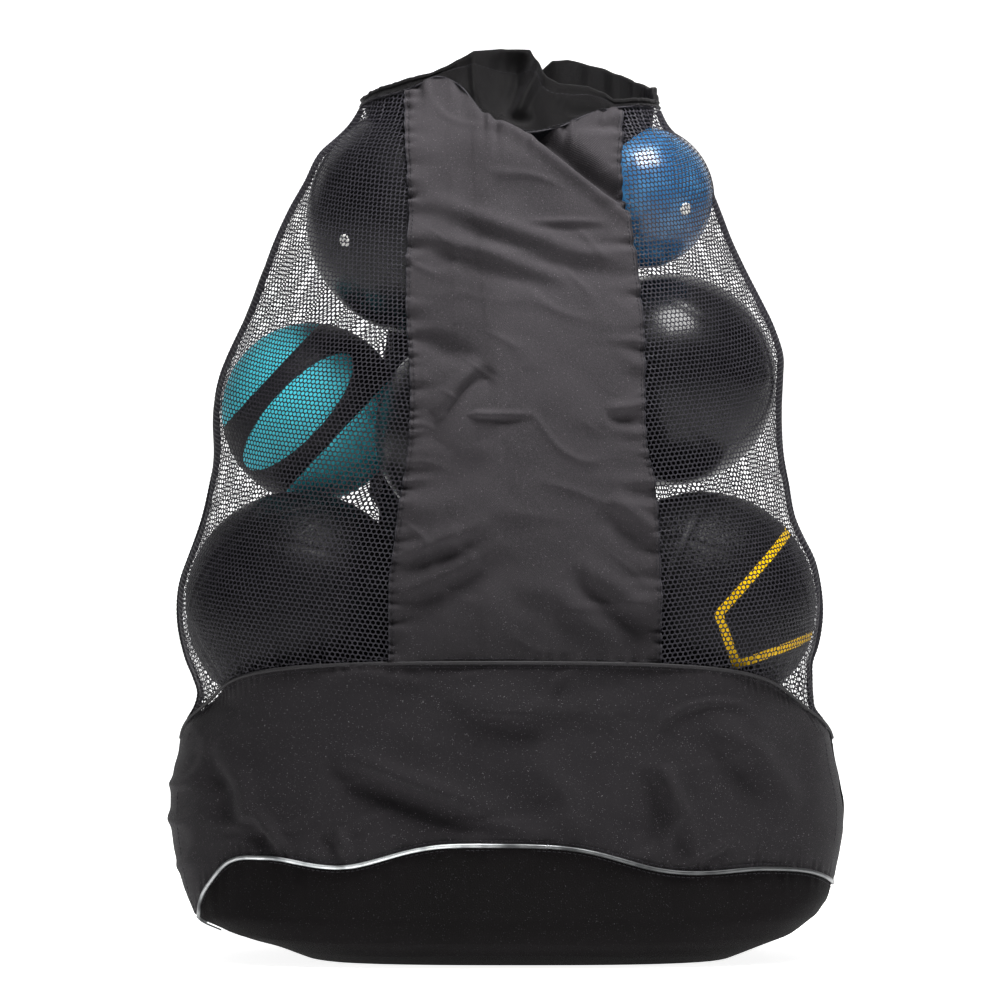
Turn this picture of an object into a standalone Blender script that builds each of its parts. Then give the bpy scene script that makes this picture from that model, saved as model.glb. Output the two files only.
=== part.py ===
"""Drawstring ball bag with net sides, standing full of balls.

The bag is one soft skin cut into panels: a bowl-shaped bottom, a fabric base, a front and a back panel, two net
sides and a collar round the mouth. Carrying straps are on its back. Front is -Y, up is +Z, lengths are metres.
"""

import math

import bpy
import numpy as np
from mathutils import Matrix, Vector

# The filled skin: height, left edge, right edge, half depth.
SECTIONS = (
    (0.000, -0.205, 0.232, 0.135),
    (0.012, -0.245, 0.262, 0.162),
    (0.030, -0.303, 0.303, 0.184),
    (0.057, -0.330, 0.334, 0.198),
    (0.100, -0.343, 0.344, 0.206),
    (0.150, -0.349, 0.349, 0.209),
    (0.230, -0.341, 0.341, 0.207),
    (0.317, -0.337, 0.327, 0.206),
    (0.369, -0.343, 0.331, 0.206),
    (0.421, -0.333, 0.319, 0.205),
    (0.500, -0.315, 0.300, 0.204),
    (0.577, -0.307, 0.294, 0.202),
    (0.681, -0.266, 0.268, 0.186),
    (0.785, -0.222, 0.229, 0.158),
    (0.850, -0.190, 0.199, 0.124),
    (0.889, -0.156, 0.161, 0.092),
    (0.939, -0.143, 0.146, 0.070),
)
SQUARENESS_LOW, SQUARENESS_HIGH = 2.9, 2.2  # exponent of the sections' outline, at the floor and at the mouth
BLUNT_TO, ROUND_FROM = 0.45, 0.88  # heights between which the exponent changes

COLUMNS = 48  # facets round the whole skin
WALL = 0.003  # skin thickness, net and fabric alike
SEAM_GAP = 0.001  # between neighbouring panels
TOUCH_GAP = 0.0004  # between pieces that lie on each other

# Seam lines as height over the angle round the bag: front, side and back height, and how late the front drops.
LOWER_SEAM = (0.122, 0.066, 0.075, 1.6)
UPPER_SEAM = (0.313, 0.234, 0.250, 0.8)
COLLAR_SEAM = (0.856, 0.886, 0.884, 1.6)
COLLAR_TOP = (0.926, 0.902, 0.936, 1.6)
BACK_BEND = 1.6

# Front panel's two edges and back panel's half width, as height and x.
FRONT_LEFT = ((0.31, -0.134), (0.44, -0.115), (0.56, -0.098), (0.68, -0.106), (0.90, -0.104))
FRONT_RIGHT = ((0.31, 0.164), (0.48, 0.160), (0.54, 0.148), (0.64, 0.148), (0.73, 0.142), (0.90, 0.106))
BACK_HALF_WIDTH = ((0.25, 0.150), (0.88, 0.110))

LOWER_PIPING_RADIUS = 0.0028
UPPER_PIPING_RADIUS = 0.0024
HEM_RADIUS = 0.005
PIPING_SIDES = 6

EYELET_ANGLES = (162.0, 198.0)
EYELET_OUTER, EYELET_HOLE, EYELET_THICK = 0.009, 0.005, 0.0016

# Balls: name, centre, radius, and the direction in which the valve points.
BALLS = (
    ("ball_top_left", (-0.086, 0.002, 0.765), 0.1210, (-0.66, -0.73, -0.19)),
    ("ball_blue", (0.141, -0.016, 0.787), 0.0735, (0.60, -0.78, -0.17)),
    ("ball_right", (0.171, 0.000, 0.598), 0.1100, (0.50, 0.20, 0.85)),
    ("ball_teal", (-0.203, 0.044, 0.563), 0.0940, (-0.20, 0.90, 0.40)),
    ("ball_middle", (-0.030, -0.083, 0.545), 0.1050, (0.30, 0.90, 0.30)),
    ("ball_lower_left", (-0.214, -0.036, 0.365), 0.1180, (-0.30, 0.80, 0.50)),
    ("ball_lower_right", (0.204, -0.034, 0.366), 0.1180, (0.40, 0.85, 0.30)),
    ("ball_lower_back", (-0.006, 0.078, 0.372), 0.1100, (0.20, 0.30, 0.93)),
    ("ball_base_left", (-0.207, 0.034, 0.129), 0.1140, (0.60, 0.60, 0.50)),
    ("ball_base_middle", (0.003, -0.058, 0.118), 0.1100, (0.10, 0.80, 0.60)),
    ("ball_base_right", (0.212, 0.034, 0.129), 0.1140, (-0.60, 0.60, 0.50)),
)
BALL_WALL = 0.003
BALL_SIDES = 16
BALL_OUTER_RINGS, BALL_INNER_RINGS = 9, 5
VALVE_RADIUS = 0.0032
VALVE_LENGTH = 0.010
VALVE_SINK = 0.0006

# Straps, on the back. Each path is x (mirrored for the other side), y and height.
YOKE_LOW, YOKE_HIGH, YOKE_HALF_WIDTH, YOKE_THICK = 0.760, 0.812, 0.105, 0.003
PAD_HEAD = ((0.069, 0.798), (0.071, 0.776))  # sewn down on the yoke: x and height
PAD_PATH = (
    (0.078, 0.2020, 0.738),
    (0.088, 0.2320, 0.680),
    (0.099, 0.2480, 0.610),
    (0.109, 0.2540, 0.530),
    (0.116, 0.2490, 0.450),
)
PAD_WIDTH, PAD_THICK = 0.062, 0.010
WEBBING_TOP = (0.1160, 0.2490, 0.4500)
WEBBING_FOOT = (0.1250, 0.2740)  # on the back panel: x and height
WEBBING_WIDTH, WEBBING_THICK = 0.025, 0.0018
SLIDER_FROM_TOP = 0.070  # along the webbing
SLIDER_BAR, SLIDER_LENGTH, SLIDER_RAIL = 0.004, 0.024, 0.004
SLIDER_CLEAR = 0.0006
PATCH_LIFT = 0.0008  # between the skin and a piece sewn on it, whose facets differ
ANCHOR_WIDTH, ANCHOR_THICK = 0.040, 0.003
ANCHOR_LOW, ANCHOR_HIGH = 0.262, 0.308
LOOP_HALF_SPAN, LOOP_WIDTH, LOOP_THICK = 0.052, 0.025, 0.003
LOOP_FOOT_HEIGHT, LOOP_RISE, LOOP_REACH = 0.822, 0.038, 0.046

BLACK_TWILL = ((0.024, 0.023, 0.024), 0.62, 0.0)
BLACK_NET = ((0.012, 0.012, 0.014), 0.50, 0.0)
REFLECTIVE = ((0.56, 0.57, 0.58), 0.28, 0.6)
BLACK_PIPING = ((0.016, 0.016, 0.017), 0.45, 0.0)
NICKEL = ((0.60, 0.59, 0.57), 0.25, 1.0)
WEBBING_BLACK = ((0.020, 0.020, 0.021), 0.70, 0.0)
BUCKLE_PLASTIC = ((0.015, 0.015, 0.016), 0.38, 0.0)
BLACK_RUBBER = ((0.018, 0.018, 0.019), 0.45, 0.0)
BLUE_VINYL = ((0.020, 0.110, 0.330), 0.22, 0.0)
TEAL_RUBBER = ((0.060, 0.400, 0.460), 0.50, 0.0)
VALVE_WHITE = ((0.80, 0.79, 0.75), 0.45, 0.0)


def clear_scene():
    """Removes every object, so that the model starts alone."""
    for obj in list(bpy.data.objects):
        bpy.data.objects.remove(obj, do_unlink=True)


def material(name, finish):
    """A Principled material from a finish: linear colour, roughness and metallic."""
    colour, roughness, metallic = finish
    made = bpy.data.materials.new(name)
    made.use_nodes = True
    shader = made.node_tree.nodes["Principled BSDF"]
    shader.inputs["Base Color"].default_value = (*colour, 1.0)
    shader.inputs["Roughness"].default_value = roughness
    shader.inputs["Metallic"].default_value = metallic
    made.diffuse_color = (*colour, 1.0)
    return made


def mesh_object(name, points, faces, finish, smooth=True):
    """A named object from points and faces, with its own material."""
    mesh = bpy.data.meshes.new(name)
    mesh.from_pydata([tuple(p) for p in points], [], [tuple(int(i) for i in f) for f in faces])
    mesh.update()
    obj = bpy.data.objects.new(name, mesh)
    bpy.context.scene.collection.objects.link(obj)
    obj.data.materials.append(material(name, finish))
    if smooth:
        mesh.shade_smooth()
        mesh.set_sharp_from_angle(angle=math.radians(40))
    return obj


# ---------------------------------------------------------------- the skin's surface


def smooth_between(knots, values, at):
    """Cubic Hermite curve through the knots, with slopes from their neighbours."""
    knots, values = np.asarray(knots, float), np.asarray(values, float)
    slopes = np.gradient(values, knots)
    at = np.clip(at, knots[0], knots[-1])
    i = np.clip(np.searchsorted(knots, at) - 1, 0, len(knots) - 2)
    span = knots[i + 1] - knots[i]
    t = (at - knots[i]) / span
    rise = t * t * (3 - 2 * t)
    bend = span * (slopes[i] * t * (1 - t) ** 2 - slopes[i + 1] * t * t * (1 - t))
    return values[i] + (values[i + 1] - values[i]) * rise + bend


def section_at(height):
    """Middle x, half width, half depth and outline exponent of the skin at a height."""
    table = np.array(SECTIONS)
    left, right, depth = (smooth_between(table[:, 0], table[:, k], height) for k in (1, 2, 3))
    t = np.clip((height - BLUNT_TO) / (ROUND_FROM - BLUNT_TO), 0, 1)
    squareness = SQUARENESS_LOW + (SQUARENESS_HIGH - SQUARENESS_LOW) * t
    return (left + right) / 2, (right - left) / 2, depth, squareness


def skin(angle, height, scale=1.0):
    """Point of the outer skin. The angle is 0 at the front, 90 degrees at +X and 180 at the back."""
    middle, half, depth, squareness = section_at(height)
    across, along = np.sin(angle), np.cos(angle)
    x = middle + scale * half * np.sign(across) * np.abs(across) ** (2 / squareness)
    y = -scale * depth * np.sign(along) * np.abs(along) ** (2 / squareness)
    return np.stack(np.broadcast_arrays(x, y, height + 0 * angle), axis=-1)


def skin_normal(angle, height):
    """Outward unit normal of the skin, from its two slopes."""
    turn, rise = 1e-3, 1e-3
    around = skin(angle + turn, height) - skin(angle - turn, height)
    upward = skin(angle, height + rise) - skin(angle, np.maximum(height - rise, 0.0))
    out = np.cross(around, upward)
    return out / np.linalg.norm(out, axis=-1, keepdims=True)


def angle_of(x, height):
    """Angle on the front half at which the skin has this x."""
    middle, half, _, squareness = section_at(height)
    share = np.clip((x - middle) / half, -1, 1)
    return np.arcsin(np.sign(share) * np.abs(share) ** (squareness / 2))


def seam_height(heights, angle):
    """Height of a seam: front value at 0, side value at 90 and back value at 180 degrees."""
    front, side, back, bend = heights
    ahead = np.cos(angle)
    share = np.abs(ahead) ** np.where(ahead > 0, bend, BACK_BEND)
    return side + np.where(ahead > 0, front - side, back - side) * share


def front_edges(height):
    """Angles of the front panel's left and right edge."""
    left = np.interp(height, *zip(*FRONT_LEFT))
    right = np.interp(height, *zip(*FRONT_RIGHT))
    return angle_of(left, height), angle_of(right, height)


def back_edges(height):
    """Angles of the back panel's edges: the one at +X, then the one at -X."""
    half = np.interp(height, *zip(*BACK_HALF_WIDTH))
    return math.pi - angle_of(half, height), math.pi - angle_of(-half, height)


def seam_angle(edge, height):
    """A panel edge moved by half a seam gap; the sign tells to which side."""
    _, half, _, _ = section_at(height)
    return edge * SEAM_GAP / (2 * half)


# ---------------------------------------------------------------- panels


def grid_faces(rows, columns, closed=False):
    """Quads of a grid of points, counted row by row."""
    last = columns if closed else columns - 1
    row, column = np.meshgrid(np.arange(rows - 1), np.arange(last), indexing="ij")
    a = (row * columns + column).ravel()
    b = (row * columns + (column + 1) % columns).ravel()
    return np.stack([a, b, b + columns, a + columns], axis=1)


def walled(name, outer, inner, finish, closed=False):
    """A solid between an outer and an inner grid of points, joined round the rims."""
    rows, columns = outer.shape[:2]
    count = rows * columns
    out = grid_faces(rows, columns, closed)
    faces = [out, out[:, ::-1] + count]
    last = columns if closed else columns - 1
    step = np.arange(last)
    following = (step + 1) % columns
    faces.append(np.stack([following, step, step + count, following + count], axis=1))
    top = (rows - 1) * columns
    faces.append(
        np.stack([step + top, following + top, following + top + count, step + top + count], axis=1)
    )
    if not closed:
        side = np.arange(rows - 1) * columns
        faces.append(np.stack([side, side + columns, side + columns + count, side + count], axis=1))
        side = side + columns - 1
        faces.append(np.stack([side + columns, side, side + count, side + columns + count], axis=1))
    points = np.concatenate([outer.reshape(-1, 3), inner.reshape(-1, 3)])
    return mesh_object(name, points, np.concatenate(faces), finish)


def panel(name, edges, low, high, cells, finish, wall=WALL, lift=0.0):
    """A panel of the skin between two edges, which give angles, and two seams, which give heights."""
    across, up = np.meshgrid(np.linspace(0, 1, cells[0] + 1), np.linspace(0, 1, cells[1] + 1))
    height = np.full_like(across, 0.5)
    for _ in range(30):
        start, end = edges(height)
        angle = start + (end - start) * across
        height = low(angle) + (high(angle) - low(angle)) * up
    outward = skin_normal(angle, height)
    outer = skin(angle, height) + outward * lift
    return walled(name, outer, outer - outward * wall, finish)


def above(heights):
    return lambda angle: seam_height(heights, angle) + SEAM_GAP / 2


def below(heights):
    return lambda angle: seam_height(heights, angle) - SEAM_GAP / 2


def ring_angles():
    return np.arange(COLUMNS) * 2 * math.pi / COLUMNS


def ring_tube(name, heights, radius, finish, push):
    """A closed round tube that follows a seam, its middle pushed out from the skin."""
    angle = ring_angles()
    height = seam_height(heights, angle)
    outward = skin_normal(angle, height)
    outward[:, 2] = 0
    outward /= np.linalg.norm(outward, axis=1, keepdims=True)
    centre = skin(angle, height) + outward * push
    turn = np.arange(PIPING_SIDES) * 2 * math.pi / PIPING_SIDES
    up = np.array([0.0, 0.0, 1.0])
    rings = (
        centre[:, None]
        + radius * np.cos(turn)[None, :, None] * outward[:, None]
        + radius * np.sin(turn)[None, :, None] * up
    )
    faces = grid_faces(COLUMNS, PIPING_SIDES, closed=True)
    joint = grid_faces(2, PIPING_SIDES, closed=True)
    joint = np.where(joint < PIPING_SIDES, joint + (COLUMNS - 1) * PIPING_SIDES, joint - PIPING_SIDES)
    return mesh_object(name, rings.reshape(-1, 3), np.concatenate([faces, joint])[:, ::-1], finish)


def bottom_panel():
    """The bowl under the bag: flat where it stands, its rim at the lower seam."""
    angle = ring_angles()
    rim = seam_height(LOWER_SEAM, angle) - SEAM_GAP / 2
    outer, inner = [], []
    for share in (0.34, 0.67):
        outer.append(skin(angle, np.zeros(COLUMNS), share))
        inner.append(outer[-1] + (0, 0, WALL))
    outer.append(skin(angle, np.zeros(COLUMNS)))
    inner.append(skin(angle, np.zeros(COLUMNS), 0.985) + (0, 0, WALL))
    for share in (0.10, 0.22, 0.42, 0.70, 1.0):
        height = rim * share
        outer.append(skin(angle, height))
        inner.append(outer[-1] - WALL * skin_normal(angle, height))
    outer, inner = np.array(outer), np.array(inner)
    rows = len(outer)
    count = rows * COLUMNS
    points = np.concatenate([outer.reshape(-1, 3), inner.reshape(-1, 3)])
    middle = skin(angle, np.zeros(COLUMNS), 0.34).mean(0)
    points = np.concatenate([points, [middle, middle + (0, 0, WALL)]])
    out = grid_faces(rows, COLUMNS, closed=True)
    step = np.arange(COLUMNS)
    following = (step + 1) % COLUMNS
    top = (rows - 1) * COLUMNS
    rim_faces = np.stack([step + top, following + top, following + top + count, step + top + count], axis=1)
    below_fan = np.stack([np.full(COLUMNS, 2 * count), following, step], axis=1)
    above_fan = np.stack([np.full(COLUMNS, 2 * count + 1), step + count, following + count], axis=1)
    faces = [*out, *(out[:, ::-1] + count), *rim_faces, *below_fan, *above_fan]
    return mesh_object("bottom_panel", points, faces, BLACK_TWILL)


def base():
    """The bowl, the two base walls and the piping on both seams."""
    bottom_panel()
    shift = SEAM_GAP / 0.7
    for name, start in (("base_wall_front", -math.pi / 2), ("base_wall_back", math.pi / 2)):
        edges = lambda height, start=start: (
            start + shift + 0 * height,
            start + math.pi - shift + 0 * height,
        )
        panel(name, edges, above(LOWER_SEAM), below(UPPER_SEAM), (24, 6), BLACK_TWILL)
    for name, seam, radius, finish in (
        ("lower_piping", LOWER_SEAM, LOWER_PIPING_RADIUS, REFLECTIVE),
        ("upper_piping", UPPER_SEAM, UPPER_PIPING_RADIUS, BLACK_PIPING),
    ):
        ring_tube(name, seam, radius, finish, radius + 0.0012)


def sides():
    """Front and back panel, and the net between them on each side."""
    low, high = above(UPPER_SEAM), below(COLLAR_SEAM)

    def front(height):
        left, right = front_edges(height)
        return left + seam_angle(1, height), right - seam_angle(1, height)

    def back(height):
        right, left = back_edges(height)
        return right + seam_angle(1, height), left - seam_angle(1, height)

    def net_right(height):
        return front_edges(height)[1] + seam_angle(1, height), back_edges(height)[0] - seam_angle(1, height)

    def net_left(height):
        return (
            back_edges(height)[1] - 2 * math.pi + seam_angle(1, height),
            front_edges(height)[0] - seam_angle(1, height),
        )

    panel("front_panel", front, low, high, (8, 12), BLACK_TWILL)
    panel("back_panel", back, low, high, (8, 12), BLACK_TWILL)
    panel("net_left", net_left, low, high, (14, 12), BLACK_NET)
    panel("net_right", net_right, low, high, (14, 12), BLACK_NET)


def frame_at(angle, height):
    """Point on the skin, and the matrix that turns +Z into its outward direction there."""
    at, height = np.array([angle]), np.array([height])
    point, outward = skin(at, height)[0], skin_normal(at, height)[0]
    turn = Vector(outward).to_track_quat("Z", "Y").to_matrix().to_4x4()
    return Vector(point), turn


def collar():
    """The sleeve round the mouth, with its cord tunnel on top and two eyelets at the back."""
    angle = ring_angles()
    low = seam_height(COLLAR_SEAM, angle) + SEAM_GAP / 2
    high = seam_height(COLLAR_TOP, angle)
    outer, inner = [], []
    for share in np.linspace(0, 1, 4):
        height = low + (high - low) * share
        outer.append(skin(angle, height))
        outward = skin_normal(angle, height)
        inner.append(outer[-1] - outward * WALL)
    sleeve = walled("collar", np.array(outer), np.array(inner), BLACK_TWILL, closed=True)
    tunnel = (*(height + HEM_RADIUS + TOUCH_GAP for height in COLLAR_TOP[:3]), COLLAR_TOP[3])
    ring_tube("collar_hem", tunnel, HEM_RADIUS, BLACK_TWILL, -WALL / 2)
    for name, degrees in zip(("cord_eyelet_right", "cord_eyelet_left"), EYELET_ANGLES):
        turn = math.radians(degrees)
        height = float(seam_height(COLLAR_SEAM, turn) + seam_height(COLLAR_TOP, turn)) / 2
        point, facing = frame_at(turn, height)
        lifted = Matrix.Translation(point) @ facing @ Matrix.Translation((0, 0, 2 * TOUCH_GAP))
        washer(name, EYELET_OUTER, EYELET_HOLE, EYELET_THICK, lifted, NICKEL)
        cutter = washer("cut_" + name, EYELET_HOLE, 0, 0.03, lifted, NICKEL, start=-0.015)
        cutter.hide_render = True
        cutter.display_type = "WIRE"
        cut = sleeve.modifiers.new("hole for " + name, "BOOLEAN")
        cut.operation = "DIFFERENCE"
        cut.object = cutter


def washer(name, outer, hole, thick, placed, finish, start=0.0, sides_round=20):
    """A flat ring, or a disc where it has no hole, standing on its own +Z."""
    turn = np.arange(sides_round) * 2 * math.pi / sides_round
    circle = np.stack([np.cos(turn), np.sin(turn), 0 * turn], axis=1)
    up = np.array([0, 0, thick])
    foot = np.array([0, 0, start])
    if hole:
        rings = [circle * outer, circle * outer + up, circle * hole + up, circle * hole]
        points = np.concatenate(rings) + foot
        faces = grid_faces(4, sides_round, closed=True)
        joint = grid_faces(2, sides_round, closed=True)
        joint = np.where(joint < sides_round, joint + 3 * sides_round, joint - sides_round)
        faces = np.concatenate([faces, joint])
    else:
        points = np.concatenate([circle * outer, circle * outer + up]) + foot
        faces = [*grid_faces(2, sides_round, closed=True)]
        faces.append(np.arange(sides_round)[::-1])
        faces.append(np.arange(sides_round) + sides_round)
    obj = mesh_object(name, points, faces, finish)
    obj.matrix_world = placed
    return obj


# ---------------------------------------------------------------- straps


def smooth_path(points, steps):
    """Points read evenly from a smooth curve through the given ones."""
    points = np.array(points, float)
    length = np.concatenate([[0], np.cumsum(np.linalg.norm(np.diff(points, axis=0), axis=1))])
    at = np.linspace(0, length[-1], steps)
    return np.stack([smooth_between(length, points[:, k], at) for k in range(3)], axis=1)


def strip(name, path, width_way, width, thick, finish):
    """A flat band along a path. Its width lies along width_way, one direction or one for each point."""
    path = np.asarray(path)
    width_way = np.broadcast_to(np.asarray(width_way, float), path.shape)
    along = np.gradient(path, axis=0)
    along /= np.linalg.norm(along, axis=1, keepdims=True)
    way = width_way - along * (along * width_way).sum(1, keepdims=True)
    way /= np.linalg.norm(way, axis=1, keepdims=True)
    face = np.cross(along, way)
    corners = ((-1, -1), (1, -1), (1, 1), (-1, 1))
    rings = np.stack([path + way * s * width / 2 + face * t * thick / 2 for s, t in corners], axis=1)
    rows = len(path)
    faces = [*grid_faces(rows, 4, closed=True)]
    faces += [np.arange(4)[::-1], np.arange(4) + (rows - 1) * 4]
    obj = mesh_object(name, rings.reshape(-1, 3), faces, finish, smooth=False)
    return obj


def off_back(x, height, lift):
    """Point at this x and height on the back of the skin, moved outwards by lift."""
    angle, height = np.array([math.pi - float(angle_of(x, height))]), np.array([height])
    return skin(angle, height)[0] + lift * skin_normal(angle, height)[0]


def slider(name, side, top, run):
    """A three-bar slider round the webbing: two bars outside it and one inside. Its origin is on the webbing."""
    centre = top + run * SLIDER_FROM_TOP
    across = np.array([side, 0.0, 0.0]) - run * run[0] * side
    across /= np.linalg.norm(across)
    away = np.cross(run, across)
    away *= np.sign(away[1])
    depth = WEBBING_THICK / 2 + SLIDER_CLEAR
    reach = WEBBING_WIDTH / 2 + SLIDER_CLEAR
    boxes = []
    for end in (-1, 1):
        rail = end * (reach + SLIDER_RAIL / 2)
        boxes.append(((0, rail, 0), (SLIDER_LENGTH, SLIDER_RAIL, 2 * depth + 2 * SLIDER_BAR - 0.002)))
        bar = end * (SLIDER_LENGTH / 2 - SLIDER_BAR / 2 - 0.0004)
        boxes.append(((bar, 0, depth + SLIDER_BAR / 2), (SLIDER_BAR, 2 * reach + SLIDER_RAIL, SLIDER_BAR)))
    boxes.append(((0, 0, -depth - SLIDER_BAR / 2), (SLIDER_BAR + 0.002, 2 * reach + SLIDER_RAIL, SLIDER_BAR)))
    turn = Matrix((run, across, away)).transposed().to_4x4()
    parts = []
    for index, (middle, size) in enumerate(boxes):
        piece = block(f"{name}_bar{index}" if index else name, middle, size, BUCKLE_PLASTIC)
        parts.append(piece)
    body = parts[0]
    for index, other in enumerate(parts[1:]):
        other.hide_render = True
        other.display_type = "WIRE"
        join = body.modifiers.new(f"bar {index}", "BOOLEAN")
        join.operation = "UNION"
        join.object = other
    for piece in parts:
        piece.matrix_world = Matrix.Translation(Vector(centre)) @ turn
    return body


def block(name, middle, size, finish):
    """A box with its own origin at zero and its middle where asked."""
    corner = np.array([[x, y, z] for z in (-0.5, 0.5) for y in (-0.5, 0.5) for x in (-0.5, 0.5)])
    points = corner * size + middle
    faces = ((0, 2, 3, 1), (4, 5, 7, 6), (0, 1, 5, 4), (2, 6, 7, 3), (0, 4, 6, 2), (1, 3, 7, 5))
    return mesh_object(name, points, faces, finish, smooth=False)


def back_patch(name, across, upward, thick, cells, finish):
    """A piece sewn on the back of the skin, between two values of x and two heights."""

    def edges(height):
        return tuple(math.pi - angle_of(x + 0 * height, height) for x in (across[1], across[0]))

    low, high = (lambda angle, end=end: end + 0 * angle for end in upward)
    panel(name, edges, low, high, cells, finish, wall=thick, lift=thick + PATCH_LIFT)


def straps():
    """Yoke, haul loop, and on each side pad, webbing, slider and anchor."""
    yoke = (-YOKE_HALF_WIDTH, YOKE_HALF_WIDTH), (YOKE_LOW, YOKE_HIGH)
    back_patch("strap_yoke", *yoke, YOKE_THICK, (8, 3), WEBBING_BLACK)
    lift = YOKE_THICK + 3 * PATCH_LIFT
    turn = np.linspace(0, math.pi, 17)
    foot = off_back(LOOP_HALF_SPAN, LOOP_FOOT_HEIGHT, LOOP_WIDTH / 2)
    loop = np.stack(
        [
            -LOOP_HALF_SPAN * np.cos(turn),
            foot[1] + LOOP_REACH * np.sin(turn),
            foot[2] + LOOP_RISE * np.sin(turn),
        ],
        axis=1,
    )
    strip("haul_loop", loop, (0.0, 0.64, -0.77), LOOP_WIDTH, LOOP_THICK, WEBBING_BLACK)
    for side, hand in ((-1, "left"), (1, "right")):
        mirror = np.array([side, 1, 1])
        head = [off_back(x, height, lift + PAD_THICK / 2) for x, height in PAD_HEAD]
        pad = smooth_path([*head, *PAD_PATH], 14) * mirror
        x, height = PAD_HEAD[0]
        across = off_back(x + PAD_WIDTH / 2, height, 0) - off_back(x - PAD_WIDTH / 2, height, 0)
        across = across * mirror * side / np.linalg.norm(across)
        lying = np.clip(1 - np.arange(len(pad)) / 5, 0, 1)[:, None]
        width_way = lying * across + (1 - lying) * (1, 0, 0)
        strip(f"shoulder_pad_{hand}", pad, width_way, PAD_WIDTH, PAD_THICK, BLACK_TWILL)
        over_tab = 3 * PATCH_LIFT + ANCHOR_THICK + WEBBING_THICK / 2
        top, foot = np.array(WEBBING_TOP) * mirror, off_back(*WEBBING_FOOT, over_tab) * mirror
        run = (foot - top) / np.linalg.norm(foot - top)
        webbing = np.array([top + run * 0.004, foot])
        strip(f"strap_webbing_{hand}", webbing, (1, 0, 0), WEBBING_WIDTH, WEBBING_THICK, WEBBING_BLACK)
        slider(f"strap_slider_{hand}", side, top, run)
        middle = side * WEBBING_FOOT[0]
        tab = (middle - ANCHOR_WIDTH / 2, middle + ANCHOR_WIDTH / 2), (ANCHOR_LOW, ANCHOR_HIGH)
        back_patch(f"strap_anchor_{hand}", *tab, ANCHOR_THICK, (2, 2), WEBBING_BLACK)


# ---------------------------------------------------------------- balls


def ball(name, centre, radius, valve_way):
    """A hollow ball turned round its valve's axis. The valve hole lets the hollow breathe."""
    finish = {"ball_blue": BLUE_VINYL, "ball_teal": TEAL_RUBBER}.get(name, BLACK_RUBBER)
    hole = VALVE_RADIUS + TOUCH_GAP
    bore = radius - BALL_WALL
    outer = np.linspace(math.asin(hole / radius), math.pi, BALL_OUTER_RINGS + 1)[:-1]
    inner = np.linspace(math.asin(hole / bore), math.pi, BALL_INNER_RINGS + 1)[:-1]
    turn = np.arange(BALL_SIDES) * 2 * math.pi / BALL_SIDES

    def rings(angles, size):
        wide = size * np.sin(angles)[:, None]
        tall = size * np.cos(angles)[:, None] + 0 * turn
        return np.stack([wide * np.cos(turn), wide * np.sin(turn), tall], axis=-1).reshape(-1, 3)

    count = len(outer) * BALL_SIDES
    points = np.concatenate([rings(outer, radius), rings(inner, bore), [(0, 0, -radius), (0, 0, -bore)]])
    out = grid_faces(len(outer), BALL_SIDES, closed=True)[:, ::-1]
    within = grid_faces(len(inner), BALL_SIDES, closed=True) + count
    step = np.arange(BALL_SIDES)
    following = (step + 1) % BALL_SIDES
    rim = np.stack([step, following, following + count, step + count], axis=1)
    last = (len(outer) - 1) * BALL_SIDES
    far = count + (len(inner) - 1) * BALL_SIDES
    pole = len(points) - 2
    cap = np.stack([following + last, step + last, np.full(BALL_SIDES, pole)], axis=1)
    cap_within = np.stack([step + far, following + far, np.full(BALL_SIDES, pole + 1)], axis=1)
    shell = mesh_object(name, points, [*out, *within, *rim, *cap, *cap_within], finish)
    shell.location = centre
    shell.rotation_euler = Vector(valve_way).to_track_quat("Z", "Y").to_euler()
    top = radius * math.cos(math.asin(hole / radius)) - VALVE_SINK
    valve = washer(
        name.replace("ball", "valve", 1),
        VALVE_RADIUS,
        0,
        VALVE_LENGTH,
        Matrix.Identity(4),
        VALVE_WHITE,
        start=top - VALVE_LENGTH,
        sides_round=12,
    )
    valve.parent = shell
    return shell


def main():
    clear_scene()
    base()
    sides()
    collar()
    straps()
    for name, centre, radius, valve_way in BALLS:
        ball(name, centre, radius, valve_way)


if __name__ == "__main__":
    main()
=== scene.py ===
"""Looks of a drawstring ball bag with net sides, standing full of eleven balls.

The skin is one filled form that sinks in between the balls. The panels, the knitted net, the piping, the
collar, the straps and the stitching are cut from that form. Front is -Y, up is +Z, lengths are metres.
"""

import math

import bpy
import numpy as np
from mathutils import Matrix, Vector
from mathutils.bvhtree import BVHTree


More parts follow.
